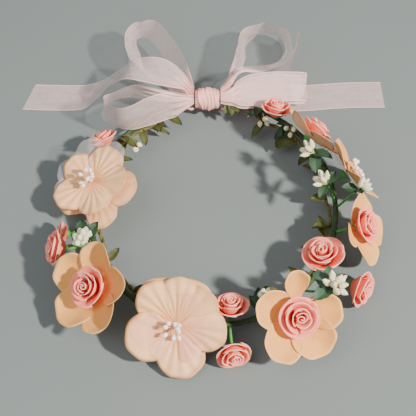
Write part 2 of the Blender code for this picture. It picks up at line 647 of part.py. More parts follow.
def build_bow():
    ribbon = material("ribbon_pink", RIBBON_PINK, 0.45)
    share = ((-1.0, 0.82), (-0.55, 0.95), (0.0, 1.0), (0.55, 0.95), (1.0, 0.82))
    rings = []
    for along, wide in share:
        centre = Vector((KNOT_X + along * KNOT_HALF_LENGTH, HOOP_HALF_DEPTH, KNOT_CENTRE_HEIGHT))
        rings.append([
            centre + Vector((0, math.cos(a) * KNOT_HALF_DEPTH, math.sin(a) * KNOT_HALF_HEIGHT)) * wide
            for a in (2 * math.pi * k / 12 for k in range(12))])
    loft_object("ribbon_knot", rings, ribbon)

    eye_z = (HOOP_HEIGHT - EYELET_RADIUS) / MM
    reach = EYELET_REACH / MM
    behind = (KNOT_HALF_DEPTH + TIE_RADIUS + TIE_CLEARANCE) / MM
    end = KNOT_HALF_LENGTH / MM
    half = ((end + 0.9, -3.4), (end + 2.8, -4.3), (reach + 0.1, -2.8), (reach + 0.4, 0.0), (reach, 3.6),
            (end + 2.4, behind - 1.7), (end - 3.0, behind))
    left = [(-x, y, eye_z) for x, y in half]
    right = [(x, y, eye_z) for x, y in reversed(half)]
    tie = [knot_point(*p) for p in smooth_rows(left + right, 2)]
    loft_object("ribbon_tie", tube_rings(tie, TIE_RADIUS, 6), ribbon)

    for name, rows in RIBBONS.items():
        loft_object(name, ribbon_rings(rows), ribbon)


def build_crown():
    clear_scene()
    build_hoop()
    build_vines()
    build_sprigs()
    for name, spec in BLOSSOMS.items():
        build_blossom(name, spec)
    for name, spec in ROSES.items():
        build_rose(name, spec)
    for name, spec in SPRAYS.items():
        build_spray(name, spec)
    build_bow()


build_crown()
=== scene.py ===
import json
import math
import bpy
import numpy as np
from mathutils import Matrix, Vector, noise


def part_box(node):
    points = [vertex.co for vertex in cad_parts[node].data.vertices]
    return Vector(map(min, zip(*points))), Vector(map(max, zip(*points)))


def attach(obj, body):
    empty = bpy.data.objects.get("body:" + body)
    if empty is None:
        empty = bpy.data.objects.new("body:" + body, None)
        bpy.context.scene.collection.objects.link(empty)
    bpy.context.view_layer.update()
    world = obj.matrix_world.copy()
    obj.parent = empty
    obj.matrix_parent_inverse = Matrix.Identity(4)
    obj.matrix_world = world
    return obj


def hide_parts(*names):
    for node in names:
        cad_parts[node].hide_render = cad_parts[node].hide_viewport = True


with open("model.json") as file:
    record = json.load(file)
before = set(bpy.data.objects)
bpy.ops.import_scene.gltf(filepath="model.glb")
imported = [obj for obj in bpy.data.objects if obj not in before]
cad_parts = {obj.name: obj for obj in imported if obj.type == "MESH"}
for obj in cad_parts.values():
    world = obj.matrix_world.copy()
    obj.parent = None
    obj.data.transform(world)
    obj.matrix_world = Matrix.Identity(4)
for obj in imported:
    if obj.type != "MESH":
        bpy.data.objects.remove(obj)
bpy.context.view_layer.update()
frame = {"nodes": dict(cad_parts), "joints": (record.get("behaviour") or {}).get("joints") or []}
print("frame loaded,", len(frame["nodes"]), "nodes")

mm = 0.001
goldenTurn = math.radians(137.5)
stemRadius, footGap = 0.9 * mm, 0.2 * mm
petalThickness, foamThickness = 0.3 * mm, 0.5 * mm

# the hoop and the knot are read from the frame, and everything else is placed round them
wrapLow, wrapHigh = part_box("hoop_tape_wrap")
knotLow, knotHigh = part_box("ribbon_knot")
wrapRadius = (wrapHigh.z - wrapLow.z) / 2
hoopHalfWidth = (wrapHigh.x - wrapLow.x) / 2 - wrapRadius
hoopHalfDepth = -wrapLow.y - wrapRadius
hoopHeight = (wrapHigh.z + wrapLow.z) / 2
knotCentre = np.array((knotLow + knotHigh) / 2)
sprayFeet = {j["child"]: np.array(j["pos_m"]) for j in frame["joints"]}


# ways round the hoop

def unit(v):
    return v / np.linalg.norm(v)


def hoopPoint(angle):
    a = math.radians(angle)
    return np.array((hoopHalfWidth * math.cos(a), hoopHalfDepth * math.sin(a), hoopHeight))


def hoopAxes(angle):
    a = math.radians(angle)
    along = unit(np.array((-hoopHalfWidth * math.sin(a), hoopHalfDepth * math.cos(a), 0.0)))
    up = np.array((0.0, 0.0, 1.0))
    return along, np.cross(along, up), up


def hoopPlace(angle, along, out, height):
    dAlong, dOut, _ = hoopAxes(angle)
    point = hoopPoint(angle) + dAlong * along * mm + dOut * out * mm
    point[2] = height * mm
    return point


def hoopDirection(angle, turn, tilt):
    along, out, up = hoopAxes(angle)
    t, e = math.radians(turn), math.radians(tilt)
    return unit((out * math.cos(t) + along * math.sin(t)) * math.cos(e) + up * math.sin(e))


def facingAxes(facing):
    z = unit(facing)
    x = unit(np.cross((0.0, 0.0, 1.0), z))
    return x, np.cross(z, x), z


def place(grid, centre, axes):
    x, y, z = axes
    return centre + grid[..., :1] * x + grid[..., 1:2] * y + grid[..., 2:] * z


def placeAll(patches, centre, axes):
    for patch in patches:
        patch["grid"] = place(patch["grid"], centre, axes)
    return patches


def stemFoot(angle, target):
    # where a stem aimed at the target leaves the tape
    along, _, _ = hoopAxes(angle)
    start = hoopPoint(angle)
    way = unit(target - start)
    slant = abs(way @ along)
    return start + way * (wrapRadius + footGap + stemRadius * slant) / math.sqrt(1 - slant * slant)


def fanned(lean, turn):
    # a direction that leans off z, at a turn round it
    return np.array([math.sin(lean) * math.cos(turn), math.sin(lean) * math.sin(turn), math.cos(lean)])


# curves and sheets of points

def smoothPath(rows, steps):
    rows = np.asarray(rows, float)
    ends = np.vstack([rows[:1], rows, rows[-1:]])
    out = []
    for a, b, c, d in zip(ends, ends[1:], ends[2:], ends[3:]):
        for k in range(steps):
            t = k / steps
            out.append(0.5 * (2 * b + (c - a) * t + (2 * a - 5 * b + 4 * c - d) * t ** 2
                              + (3 * b - a - 3 * c + d) * t ** 3))
    out.append(rows[-1])
    return np.array(out)


def bezier(a, b, c, d, count):
    t = np.linspace(0, 1, count)[:, None]
    return a * (1 - t) ** 3 + b * 3 * t * (1 - t) ** 2 + c * 3 * t * t * (1 - t) + d * t ** 3


def pathFrames(points):
    tangents = np.gradient(points, axis=0)
    tangents /= np.linalg.norm(tangents, axis=1)[:, None]
    side = unit(np.cross(tangents[0], (0.3, 0.2, 1.0)))
    sides = []
    for tangent in tangents:
        side = unit(side - tangent * (side @ tangent))
        sides.append(side)
    sides = np.array(sides)
    return tangents, sides, np.cross(tangents, sides)


def tube(points, radius, sides=10, shape=None, **extra):
    # shape(along, round) gives a share of the radius, for ridges, folds and tapers
    points = np.asarray(points)
    _, u, v = pathFrames(points)
    turn = np.linspace(0, 2 * math.pi, sides, endpoint=False)[None, :]
    along = np.linspace(0, 1, len(points))[:, None]
    size = np.broadcast_to(np.asarray(radius, float).reshape(-1, 1), (len(points), 1)) + 0 * turn
    if shape:
        size = size * shape(along, turn)
    grid = points[:, None] + size[..., None] * (u[:, None] * np.cos(turn)[..., None]
                                                + v[:, None] * np.sin(turn)[..., None])
    tip = np.repeat(points[:1, None], sides, 1), np.repeat(points[-1:, None], sides, 1)
    grid = np.vstack([tip[0] * 0.999 + grid[:1] * 0.001, grid, tip[1] * 0.999 + grid[-1:] * 0.001])
    return dict(grid=grid, wrap=True, **extra)


def wobble(grid, amount, size, seed):
    # small uneven dents along z of a grid, for cloth that has been handled
    out = grid.copy()
    for index in np.ndindex(grid.shape[:2]):
        x, y, _ = grid[index] / size
        out[index][2] += amount * noise.noise(Vector((x, y, seed * 7.3)))
    return out


def makePiece(name, patches, labels, body, node, thickness=0.0, rim=0):
    # a patch is a grid of points, closed from its last column to its first where it wraps
    verts, faces, shapeUv, weaveUv, tones, slots = [], [], [], [], [], []
    near, far = slice(None, -1), slice(1, None)
    corners = ((near, near), (near, far), (far, far), (far, near))
    start = 0
    for patch in patches:
        grid = np.asarray(patch["grid"], float)
        wrap = bool(patch.get("wrap"))
        rows, cols = grid.shape[:2]
        index = start + np.arange(rows * cols).reshape(rows, cols)
        if wrap:
            index = np.hstack([index, index[:, :1]])
        stepU = np.linalg.norm(np.diff(grid, axis=1), axis=2)
        stepV = np.linalg.norm(np.diff(grid, axis=0), axis=2)
        wide = patch.get("wide", stepU.sum(1).max())
        run = np.concatenate([[0], np.cumsum(stepV.mean(1))])
        u = np.linspace(0, 1, cols + wrap)
        for layer, acrossMap, alongMap in ((shapeUv, u, np.linspace(0, 1, rows)), (weaveUv, u * wide, run)):
            mapU, mapV = np.meshgrid(acrossMap, alongMap)
            layer.append(np.stack([np.stack([mapU[c], mapV[c]], -1) for c in corners], 2).reshape(-1, 2))
        faces.append(np.stack([index[c] for c in corners], -1).reshape(-1, 4))
        verts.append(grid.reshape(-1, 3))
        tones.append(np.broadcast_to(patch.get("tone", 0.5), (rows, cols)).ravel())
        slots.append(np.full(len(faces[-1]), patch.get("mat", 0)))
        start += rows * cols
    mesh = bpy.data.meshes.new(name)
    mesh.from_pydata(np.vstack(verts).tolist(), [], np.vstack(faces).tolist())
    for layer, values in (("shape", shapeUv), ("weave", weaveUv)):
        mesh.uv_layers.new(name=layer).data.foreach_set("uv", np.vstack(values).astype(np.float32).ravel())
    tone = mesh.attributes.new("tone", "FLOAT", "POINT")
    tone.data.foreach_set("value", np.concatenate(tones).astype(np.float32))
    mesh.polygons.foreach_set("material_index", np.concatenate(slots).astype(np.int32))
    for label in labels:
        mesh.materials.append(finishes[label])
    mesh.shade_smooth()
    piece = bpy.data.objects.new(name, mesh)
    bpy.context.collection.objects.link(piece)
    if thickness:
        solid = piece.modifiers.new("thickness", "SOLIDIFY")
        solid.thickness = thickness
        solid.offset = 0.0
        solid.material_offset_rim = rim
    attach(piece, body)
    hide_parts(node)
    return piece


# materials: groups first, for what several materials share

def newGroup(name, outputs, **inputs):
    # an input without a starting number is a vector
    group = bpy.data.node_groups.new(name, "ShaderNodeTree")
    for label, value in inputs.items():
        kind = "NodeSocketVector" if value is None else "NodeSocketFloat"
        socket = group.interface.new_socket(name=label, in_out="INPUT", socket_type=kind)
        if value is not None:
            socket.default_value = value
    for label in outputs:
        group.interface.new_socket(name=label, in_out="OUTPUT", socket_type="NodeSocketFloat")
    return group, group.nodes.new("NodeGroupInput"), group.nodes.new("NodeGroupOutput")


def mathNode(tree, operation, *values):
    node = tree.nodes.new("ShaderNodeMath")
    node.operation = operation
    for socket, value in zip(node.inputs, values):
        if isinstance(value, (int, float)):
            socket.default_value = value
        else:
            tree.links.new(value, socket)
    return node.outputs[0]


def smoothSpread(group, value, low, high):
    node = group.nodes.new("ShaderNodeMapRange")
    node.interpolation_type = "SMOOTHSTEP"
    for label, socket in (("Value", value), ("From Min", low), ("From Max", high)):
        group.links.new(socket, node.inputs[label])
    return node.outputs[0]


def weaveGroup():
    # warp and weft threads from a map in metres
    group, source, sink = newGroup("threadWeave", ["Height", "Cover"], Vector=None, Threads=2000.0)
    split = group.nodes.new("ShaderNodeSeparateXYZ")
    group.links.new(source.outputs["Vector"], split.inputs[0])
    waves = []
    for axis in (0, 1):
        phase = mathNode(group, "MULTIPLY", split.outputs[axis], source.outputs["Threads"])
        wave = mathNode(group, "SINE", mathNode(group, "MULTIPLY", phase, math.pi))
        waves.append(mathNode(group, "ABSOLUTE", wave))
    group.links.new(mathNode(group, "MAXIMUM", *waves), sink.inputs["Height"])
    group.links.new(mathNode(group, "MULTIPLY", mathNode(group, "ADD", *waves), 0.5), sink.inputs["Cover"])
    return group


def mottleGroup():
    # soft uneven patches between 0 and 1
    group, source, sink = newGroup("mottle", ["Mask"], Vector=None, Scale=100.0, Low=0.35, High=0.65)
    cloud = group.nodes.new("ShaderNodeTexNoise")
    cloud.inputs["Detail"].default_value = 4.0
    group.links.new(source.outputs["Vector"], cloud.inputs["Vector"])
    group.links.new(source.outputs["Scale"], cloud.inputs["Scale"])
    mask = smoothSpread(group, cloud.outputs[0], source.outputs["Low"], source.outputs["High"])
    group.links.new(mask, sink.inputs["Mask"])
    return group


def bandGroup():
    # 1 past a place on the map and 0 before it, with a soft step between
    group, source, sink = newGroup("softBand", ["Mask"], Value=0.0, From=0.8, To=1.0)
    mask = smoothSpread(group, source.outputs["Value"], source.outputs["From"], source.outputs["To"])
    group.links.new(mask, sink.inputs["Mask"])
    return group


threadWeave, mottle, softBand = weaveGroup(), mottleGroup(), bandGroup()


class Finish:
    # one material with its Principled shader and the few nodes that most of them need
    def __init__(self, name, colour, **numbers):
        self.material = bpy.data.materials.new(name)
        self.material.use_nodes = True
        self.tree = self.material.node_tree
        self.shader = self.tree.nodes["Principled BSDF"]
        self.shader.inputs["Base Color"].default_value = (*colour, 1.0)
        for label, value in numbers.items():
            self.shader.inputs[label.replace("_", " ")].default_value = value

    def node(self, kind):
        return self.tree.nodes.new("ShaderNode" + kind)

    def group(self, group, **values):
        node = self.node("Group")
        node.node_tree = group
        for label, value in values.items():
            if isinstance(value, (int, float)):
                node.inputs[label].default_value = value
            else:
                self.tree.links.new(value, node.inputs[label])
        return node.outputs

    def cloud(self, vector, scale, low=0.3, high=0.7):
        return self.group(mottle, Vector=vector, Scale=scale, Low=low, High=high)["Mask"]

    def band(self, value, first, last):
        return self.group(softBand, Value=value, From=first, To=last)["Mask"]

    def uv(self, layer):
        node = self.node("UVMap")
        node.uv_map = layer
        return node.outputs[0]

    def split(self, vector):
        node = self.node("SeparateXYZ")
        self.tree.links.new(vector, node.inputs[0])
        return node.outputs

    def place(self):
        return self.node("TexCoord").outputs["Object"]

    def tone(self):
        node = self.node("Attribute")
        node.attribute_name = "tone"
        return node.outputs["Fac"]

    def math(self, operation, *values):
        return mathNode(self.tree, operation, *values)

    def share(self, value, part):
        return self.math("MULTIPLY", value, part)

    def fromMiddle(self, across):
        return self.math("ABSOLUTE", self.math("SUBTRACT", across, 0.5))

    def mix(self, share, first, second):
        node = self.node("Mix")
        node.data_type = "RGBA"
        for socket, value in ((node.inputs[0], share), (node.inputs[6], first), (node.inputs[7], second)):
            if isinstance(value, tuple):
                socket.default_value = (*value, 1.0)
            else:
                self.tree.links.new(value, socket)
        return node.outputs[2]

    def set(self, label, value):
        self.tree.links.new(value, self.shader.inputs[label])

    def bump(self, height, depth, strength):
        node = self.node("Bump")
        node.inputs["Strength"].default_value = strength
        node.inputs["Distance"].default_value = depth
        self.tree.links.new(height, node.inputs["Height"])
        self.set("Normal", node.outputs[0])


def tint(colour, share):
    return tuple(min(1.0, c * share) for c in colour)


def petalCloth(name, heart, body, rim):
    # starched cloth: deeper at the heart, paler on the face, with a band along the edge; on the cupped tan
    # petals the deep heart is painted shade, and on the cream petals the edge is partly the cloth's tan edge
    # and partly painted shade, dark brown, for curled-down edges and the seams where petals overlap
    f = Finish(name, body, Roughness=0.72, Sheen_Weight=0.1)
    across, along, _ = f.split(f.uv("shape"))
    cloud = f.cloud(f.place(), 170.0)
    # the heart colour at the petal feet is, on the cupped tan petals, painted shade inside the cup under the
    # foam rose
    base = f.mix(f.band(along, 0.62, 0.12), body, heart)
    base = f.mix(f.share(cloud, 0.30), base, tint(body, 0.80))
    # the edge band carries the rim colour: on the cream petals a dark brown painted shade for curled-down
    # edges and overlap seams, over the cloth's tan edge
    edge = f.math("MAXIMUM", f.band(along, 0.90, 1.0), f.band(f.fromMiddle(across), 0.44, 0.5))
    base = f.mix(f.share(edge, 0.75), base, rim)
    f.set("Base Color", f.mix(f.share(f.tone(), 0.30), base, tint(body, 1.18)))
    threads = f.group(threadWeave, Vector=f.uv("weave"), Threads=2600.0)["Height"]
    f.bump(f.math("ADD", f.share(threads, 0.5), cloud), 0.25 * mm, 0.5)
    return f.material


def sheerCloth(name, thread, edge, cover, coverEdge, roughness=0.5):
    # organza: fine threads with gaps between them, closed along the woven edges
    f = Finish(name, thread, Roughness=roughness)
    across = f.split(f.uv("shape"))[0]
    selvedge = f.band(f.share(f.fromMiddle(across), 2.0), 0.93, 0.96)
    weave = f.group(threadWeave, Vector=f.uv("weave"), Threads=1900.0)
    stretch = f.node("Mapping")
    stretch.inputs["Scale"].default_value = (260.0, 60.0, 1.0)
    f.tree.links.new(f.uv("weave"), stretch.inputs["Vector"])
    slub = f.cloud(stretch.outputs[0], 1.0)
    cloud = f.cloud(f.uv("weave"), 240.0, 0.25, 0.75)
    body = f.share(f.math("ADD", weave["Cover"], 0.36), cover)
    body = f.math("ADD", body, f.share(f.math("ADD", slub, cloud), cover * 0.16))
    body = f.share(body, f.math("SUBTRACT", 1.0, selvedge))
    closed = f.math("ADD", body, f.share(selvedge, coverEdge))
    gather = f.band(f.tone(), 0.5, 1.0)
    f.set("Alpha", f.math("MINIMUM", f.math("ADD", closed, f.share(gather, 0.35)), 1.0))
    base = f.mix(f.share(slub, 0.35), thread, tint(thread, 1.12))
    base = f.mix(f.share(gather, 0.7), base, (thread[0], thread[1] * 0.74, thread[2] * 0.70))
    f.set("Base Color", f.mix(selvedge, base, edge))
    f.bump(weave["Height"], 0.12 * mm, 0.5)
    return f.material


def foamSheet(name, deep, face):
    # closed-cell foam: matt and soft, paler towards the rim of each petal
    f = Finish(name, face, Roughness=0.85, Subsurface_Weight=0.25, Subsurface_Scale=1.2 * mm)
    f.shader.inputs["Subsurface Radius"].default_value = (1.0, 0.45, 0.35)
    along = f.split(f.uv("shape"))[1]
    cloud = f.cloud(f.place(), 700.0)
    base = f.mix(f.band(along, 0.15, 0.95), deep, face)
    base = f.mix(f.share(cloud, 0.18), base, tint(face, 1.15))
    f.set("Base Color", f.mix(f.share(f.band(along, 0.93, 1.0), 0.45), base, tint(face, 1.3)))
    f.bump(cloud, 0.12 * mm, 0.5)
    return f.material


def foamBud(name, low, high):
    # ivory foam with a grainy crust, greener where it meets its stalk
    f = Finish(name, high, Roughness=0.8, Subsurface_Weight=0.2, Subsurface_Scale=1.0 * mm)
    along = f.split(f.uv("shape"))[1]
    grain = f.cloud(f.place(), 1500.0, 0.4, 0.6)
    base = f.mix(f.band(along, 0.55, 0.15), high, low)
    f.set("Base Color", f.mix(f.share(grain, 0.28), base, tint(high, 0.72)))
    f.bump(grain, 0.5 * mm, 0.8)
    return f.material


def leafCloth(name, face, vein, edge):
    # printed cloth leaf: a pale midrib with side veins off it
    f = Finish(name, face, Roughness=0.62)
    across, along, _ = f.split(f.uv("shape"))
    side = f.fromMiddle(across)
    rib = f.band(side, 0.045, 0.0)
    slanted = f.math("SUBTRACT", along, f.share(side, 0.7))
    veins = f.band(f.math("SINE", f.share(slanted, 44.0)), 0.86, 1.0)
    cloud = f.cloud(f.place(), 260.0)
    base = f.mix(f.share(cloud, 0.5), face, edge)
    base = f.mix(f.share(f.math("MAXIMUM", rib, f.share(veins, 0.4)), 0.6), base, vein)
    f.set("Base Color", f.mix(f.share(f.tone(), 0.4), base, tint(face, 1.7)))
    f.bump(f.math("ADD", f.math("MAXIMUM", rib, veins), f.share(cloud, 0.4)), 0.25 * mm, 0.6)
    return f.material


def plainFinish(name, colour, shade, scale, depth, roughness=0.7, **numbers):
    # one colour with uneven patches and a matching bump
    f = Finish(name, colour, Roughness=roughness, **numbers)
    cloud = f.cloud(f.place(), scale)
    f.set("Base Color", f.mix(cloud, colour, shade))
    f.bump(cloud, depth, 0.6)
    return f.material


finishes = dict(
    # the cream petals' dark brown rim colour is partly painted shade along curled-down edges and the seams
    # where petals overlap
    cream=petalCloth("creamPetal", (0.76, 0.28, 0.06), (0.92, 0.50, 0.24), (0.50, 0.23, 0.07)),
    # the tan petals' deep ochre heart colour is painted shade inside the cupped petals
    tan=petalCloth("tanPetal", (0.58, 0.18, 0.02), (0.77, 0.36, 0.085), (0.80, 0.43, 0.15)),
    ribbon=sheerCloth("pinkOrganza", (0.95, 0.66, 0.62), (0.96, 0.60, 0.55), 0.33, 0.80, 0.45),
    gathered=sheerCloth("gatheredOrganza", (0.95, 0.42, 0.36), (0.96, 0.55, 0.50), 0.88, 0.97),
    overlay=sheerCloth("petalOrganza", (0.95, 0.55, 0.44), (0.97, 0.74, 0.66), 0.17, 0.62),
    white=sheerCloth("whiteOrganza", (0.88, 0.84, 0.78), (0.92, 0.88, 0.84), 0.18, 0.45),
    foam=foamSheet("foamPetal", (0.80, 0.09, 0.045), (0.96, 0.27, 0.19)),
    foamRim=foamSheet("foamRim", (0.95, 0.36, 0.28), (0.96, 0.40, 0.32)),
    bud=foamBud("ivoryBud", (0.74, 0.66, 0.20), (0.97, 0.89, 0.60)),
    stem=plainFinish("greenStem", (0.02, 0.17, 0.02), (0.06, 0.30, 0.04), 400.0, 0.1 * mm, 0.45),
    tape=plainFinish("floralTape", (0.018, 0.04, 0.008), (0.035, 0.07, 0.015), 500.0, 0.15 * mm),
    vine=plainFinish("paperVine", (0.07, 0.07, 0.008), (0.15, 0.13, 0.02), 300.0, 0.2 * mm),
    darkLeaf=leafCloth("darkLeaf", (0.016, 0.05, 0.018), (0.06, 0.12, 0.05), (0.008, 0.03, 0.012)),
    greyLeaf=leafCloth("greyLeaf", (0.035, 0.085, 0.04), (0.08, 0.15, 0.08), (0.02, 0.05, 0.025)),
    oliveLeaf=leafCloth("oliveLeaf", (0.055, 0.062, 0.006), (0.13, 0.125, 0.02), (0.025, 0.034, 0.004)),
    wire=plainFinish("drawnWire", (0.42, 0.42, 0.41), (0.30, 0.30, 0.29), 900.0, 0.05 * mm, 0.35,
                     Metallic=1.0),
    pearl=plainFinish("pearlLacquer", (0.93, 0.78, 0.72), (0.96, 0.88, 0.84), 300.0, 0.02 * mm, 0.22,
                      Coat_Weight=0.6, Coat_Roughness=0.1),
    thread=plainFinish("stamenThread", (0.80, 0.50, 0.40), (0.85, 0.62, 0.52), 900.0, 0.05 * mm, 0.6),
)
print("materials made,", len(finishes))


# hoop: wire with a curled eyelet at each end, and tape wound over it (degrees and mm)
hoopSpec = dict(start=108.0, end=438.0, wire=0.8, tapePitch=5.2, eyelet=2.9, eyeletReach=14.0,
                eyeletTurn=275.0)


def eyelet(side):
    radius = hoopSpec["eyelet"] * mm
    centre = knotCentre * (1, 1, 0) + (side * hoopSpec["eyeletReach"] * mm, 0, hoopHeight - radius)
    turn = np.radians(np.linspace(hoopSpec["eyeletTurn"], 0, 25))[:, None]
    return centre + np.hstack([-side * np.sin(turn), 0 * turn, np.cos(turn)]) * radius


def buildHoop():
    stations = np.array([hoopPoint(a) for a in np.linspace(hoopSpec["start"], hoopSpec["end"], 480)])
    path = np.vstack([eyelet(-1), stations[::4], eyelet(1)[::-1]])
    wire = tube(path, hoopSpec["wire"] * mm, 12)
    makePiece("hoopWire", [wire], ["wire"], "crown", "hoop_wire")
    turns = np.linalg.norm(np.diff(stations, axis=0), axis=1).sum() / (hoopSpec["tapePitch"] * mm)

    def wound(along, turn):
        # each lap of tape steps up at its edge
        lap = (along * turns + turn / (2 * math.pi)) % 1.0
        return 0.90 + 0.10 * lap ** 3 + 0.02 * np.sin(turn * 5 + along * 900)

    wrap = tube(stations, wrapRadius, 14, wound)
    makePiece("hoopTape", [wrap], ["tape"], "crown", "hoop_tape_wrap")


# leaves, buds and berries, with lengths in mm

def leafPatch(base, way, length, width, roll, tone):
    z = unit(way)
    flat = unit(np.cross((0.0, 0.0, 1.0), z))
    face = np.cross(z, flat)
    r = math.radians(roll)
    flat, face = flat * math.cos(r) + face * math.sin(r), face * math.cos(r) - flat * math.sin(r)
    length, width, droop = length * mm, width * mm, 0.12
    v, u = np.linspace(0, 1, 13)[:, None], np.linspace(-1, 1, 9)[None, :]
    outline = np.sin(math.pi * np.clip(v, 0.03, 1) ** 0.8) ** 0.75 * (1 - 0.12 * v) + 0.05
    outline = outline * (1 + 0.07 * np.sin(v * 26) * np.abs(u))
    x = u * outline * width / 2
    y = v * length
    rise = length * (-droop * v ** 2 + 0.05 * np.sin(v * 5 + u)) + 0.16 * width * np.abs(u) ** 1.3
    grid = base + x[..., None] * flat + y[..., None] * z + rise[..., None] * face
    return dict(grid=grid, mat=1, tone=tone)


def budPatch(base, way, stalk, length, radius, seed, crust=0.12):
    # a drop on a thin stalk, its surface uneven like torn foam
    stalk, length, radius, stalkRadius = stalk * mm, length * mm, radius * mm, 0.28 * mm
    mark = np.concatenate([np.linspace(0, stalk, 3), stalk + length * np.linspace(0.06, 1, 13)])
    t = np.clip((mark - stalk) / length, 0, 1)
    drop = radius * np.sin(math.pi * np.clip(t, 0.05, 0.985) ** 0.78) ** 0.7

    def rough(along, turn):
        bumps = np.array([[noise.noise(Vector((math.cos(b) * 1.6, math.sin(b) * 1.6, a * 14 + seed * 3.1)))
                           for b in turn[0]] for a in along[:, 0]])
        return 1 + crust * 2 * bumps

    size = np.where(mark <= stalk, stalkRadius, drop)
    return tube(base + mark[:, None] * unit(way), size, 10, rough, mat=2)


# a leaf is (angle round the hoop, turn, tilt, length, width)
vineSpec = dict(radius=0.9, gap=0.3, sway=2.4, drop=1.4, waves=5, strand=0.80, strandOut=0.55, twists=13)
vines = {
    "vine_left": dict(first=112.0, last=236.0, leafSide=(-6.0, 11.0), leaves=(
        (114, 200, 0, 11, 5), (118, 130, -10, 9, 4.5), (126, 215, -5, 12, 5.5), (122, 165, 20, 9, 4.5),
        (131, 150, -12, 10, 5), (186, 175, 0, 10, 3), (231, 150, 35, 9, 4.5), (152, 200, 10, 10, 4.5),
        (163, 150, 15, 10, 4.5), (210, 200, 15, 10, 4.5), (236, 170, 10, 11, 5.0))),
    "vine_right": dict(first=72.0, last=-62.0, leafSide=(-6.0, 12.0), leaves=(
        (60, 165, -15, 13, 6), (47, 190, -15, 14, 6.5), (41, 160, -5, 12, 5.5), (350, 210, 25, 12, 6),
        (344, 120, 20, 13, 6), (335, 190, 20, 11, 3.5), (30, 205, 15, 10, 4.5), (20, 150, 10, 10, 4.5),
        (5, 195, 20, 10, 4.5), (318, 170, 20, 11, 5), (304, 200, 25, 12, 5.5), (299, 215, 15, 12, 5.5))),
}


def buildVines():
    near, level = wrapRadius / mm + vineSpec["gap"] + vineSpec["radius"], hoopHeight / mm
    share = np.linspace(0, 1, 180)
    sway = 0.5 - 0.5 * np.cos(2 * math.pi * vineSpec["waves"] * share)
    for name, spec in vines.items():
        angles = spec["first"] + (spec["last"] - spec["first"]) * share
        path = np.array([hoopPlace(a, 0, -near - vineSpec["sway"] * s, level - vineSpec["drop"] * (1 + s))
                         for a, s in zip(angles, sway)])
        _, u, v = pathFrames(path)
        patches = []
        for strand in (0, math.pi):
            twist = (share * 2 * math.pi * vineSpec["twists"] + strand)[:, None]
            cord = path + (u * np.cos(twist) + v * np.sin(twist)) * vineSpec["strandOut"] * mm
            patches.append(tube(cord, vineSpec["strand"] * mm, 8))
        for k, (angle, turn, tilt, length, width) in enumerate(spec["leaves"]):
            away = np.linalg.norm(path - hoopPlace(angle, 0, *spec["leafSide"]), axis=1)
            way = hoopDirection(angle, turn, tilt)
            patches.append(leafPatch(path[np.argmin(away)], way, 1.15 * length, 1.25 * width,
                                     20 - 15 * (k % 3), k % 3 / 2))
        makePiece(name + "_cord", patches, ["vine", "oliveLeaf"], "crown", name)


# a leaf is (turn, tilt, length, width), and a berry is (turn, tilt, length with its stalk)
sprigSpec = dict(forkOut=-2.2, forkUp=4.6, stem=0.8, berry=4.6, berryRadius=1.8, berrySunk=0.2)
sprigs = {
    "sprig_beside_knot": dict(
        angle=81.0, mat="oliveLeaf", berries=(),
        leaves=((200, -24, 12, 6), (168, -18, 11, 5), (235, -25, 11, 5), (140, -48, 8, 4.5))),
    "sprig_back": dict(
        angle=64.5, mat="darkLeaf", leaves=((210, 5, 12, 7), (170, 25, 11, 6), (150, -5, 12, 5.5)),
        berries=((230, -15, 14), (205, -30, 13), (222, 5, 13))),
    "sprig_right_back": dict(
        angle=47.0, mat="darkLeaf", leaves=((200, 5, 12, 7), (175, -10, 15, 6), (150, 30, 11, 6)),
        berries=((225, 10, 13), (205, 35, 13), (240, 30, 12))),
    "sprig_left": dict(
        angle=143.0, mat="oliveLeaf", berries=((170, -10, 15), (182, -22, 14), (192, -8, 15)),
        leaves=((150, 35, 12, 7), (180, 0, 13, 6), (205, -15, 13, 6), (125, 10, 11, 5.5))),
    "sprig_front": dict(
        angle=291.0, mat="darkLeaf", leaves=((160, 35, 14, 8), (185, 10, 11, 6), (200, 40, 11, 6)),
        berries=((140, 50, 14), (125, 40, 15), (150, 62, 13))),
}


def buildSprigs():
    for name, spec in sprigs.items():
        fork = hoopPlace(spec["angle"], 0, sprigSpec["forkOut"], hoopHeight / mm + sprigSpec["forkUp"])
        foot = stemFoot(spec["angle"], fork)
        patches = [tube(smoothPath([foot, (foot + fork) / 2, fork], 4), sprigSpec["stem"] * mm, 10)]
        for k, (turn, tilt, length, width) in enumerate(spec["leaves"]):
            way = hoopDirection(spec["angle"], turn, tilt)
            patches.append(leafPatch(fork - way * 0.4 * mm, way, length, width, 12 * (k - 1), k % 3 / 2))
        for k, (turn, tilt, length) in enumerate(spec["berries"]):
            way = hoopDirection(spec["angle"], turn, tilt)
            stalk = length - sprigSpec["berry"] + sprigSpec["berrySunk"]
            patches.append(budPatch(fork, way, stalk, sprigSpec["berry"], sprigSpec["berryRadius"], k))
        makePiece(name + "_leaves", patches, ["stem", spec["mat"], "bud"], "crown", name)


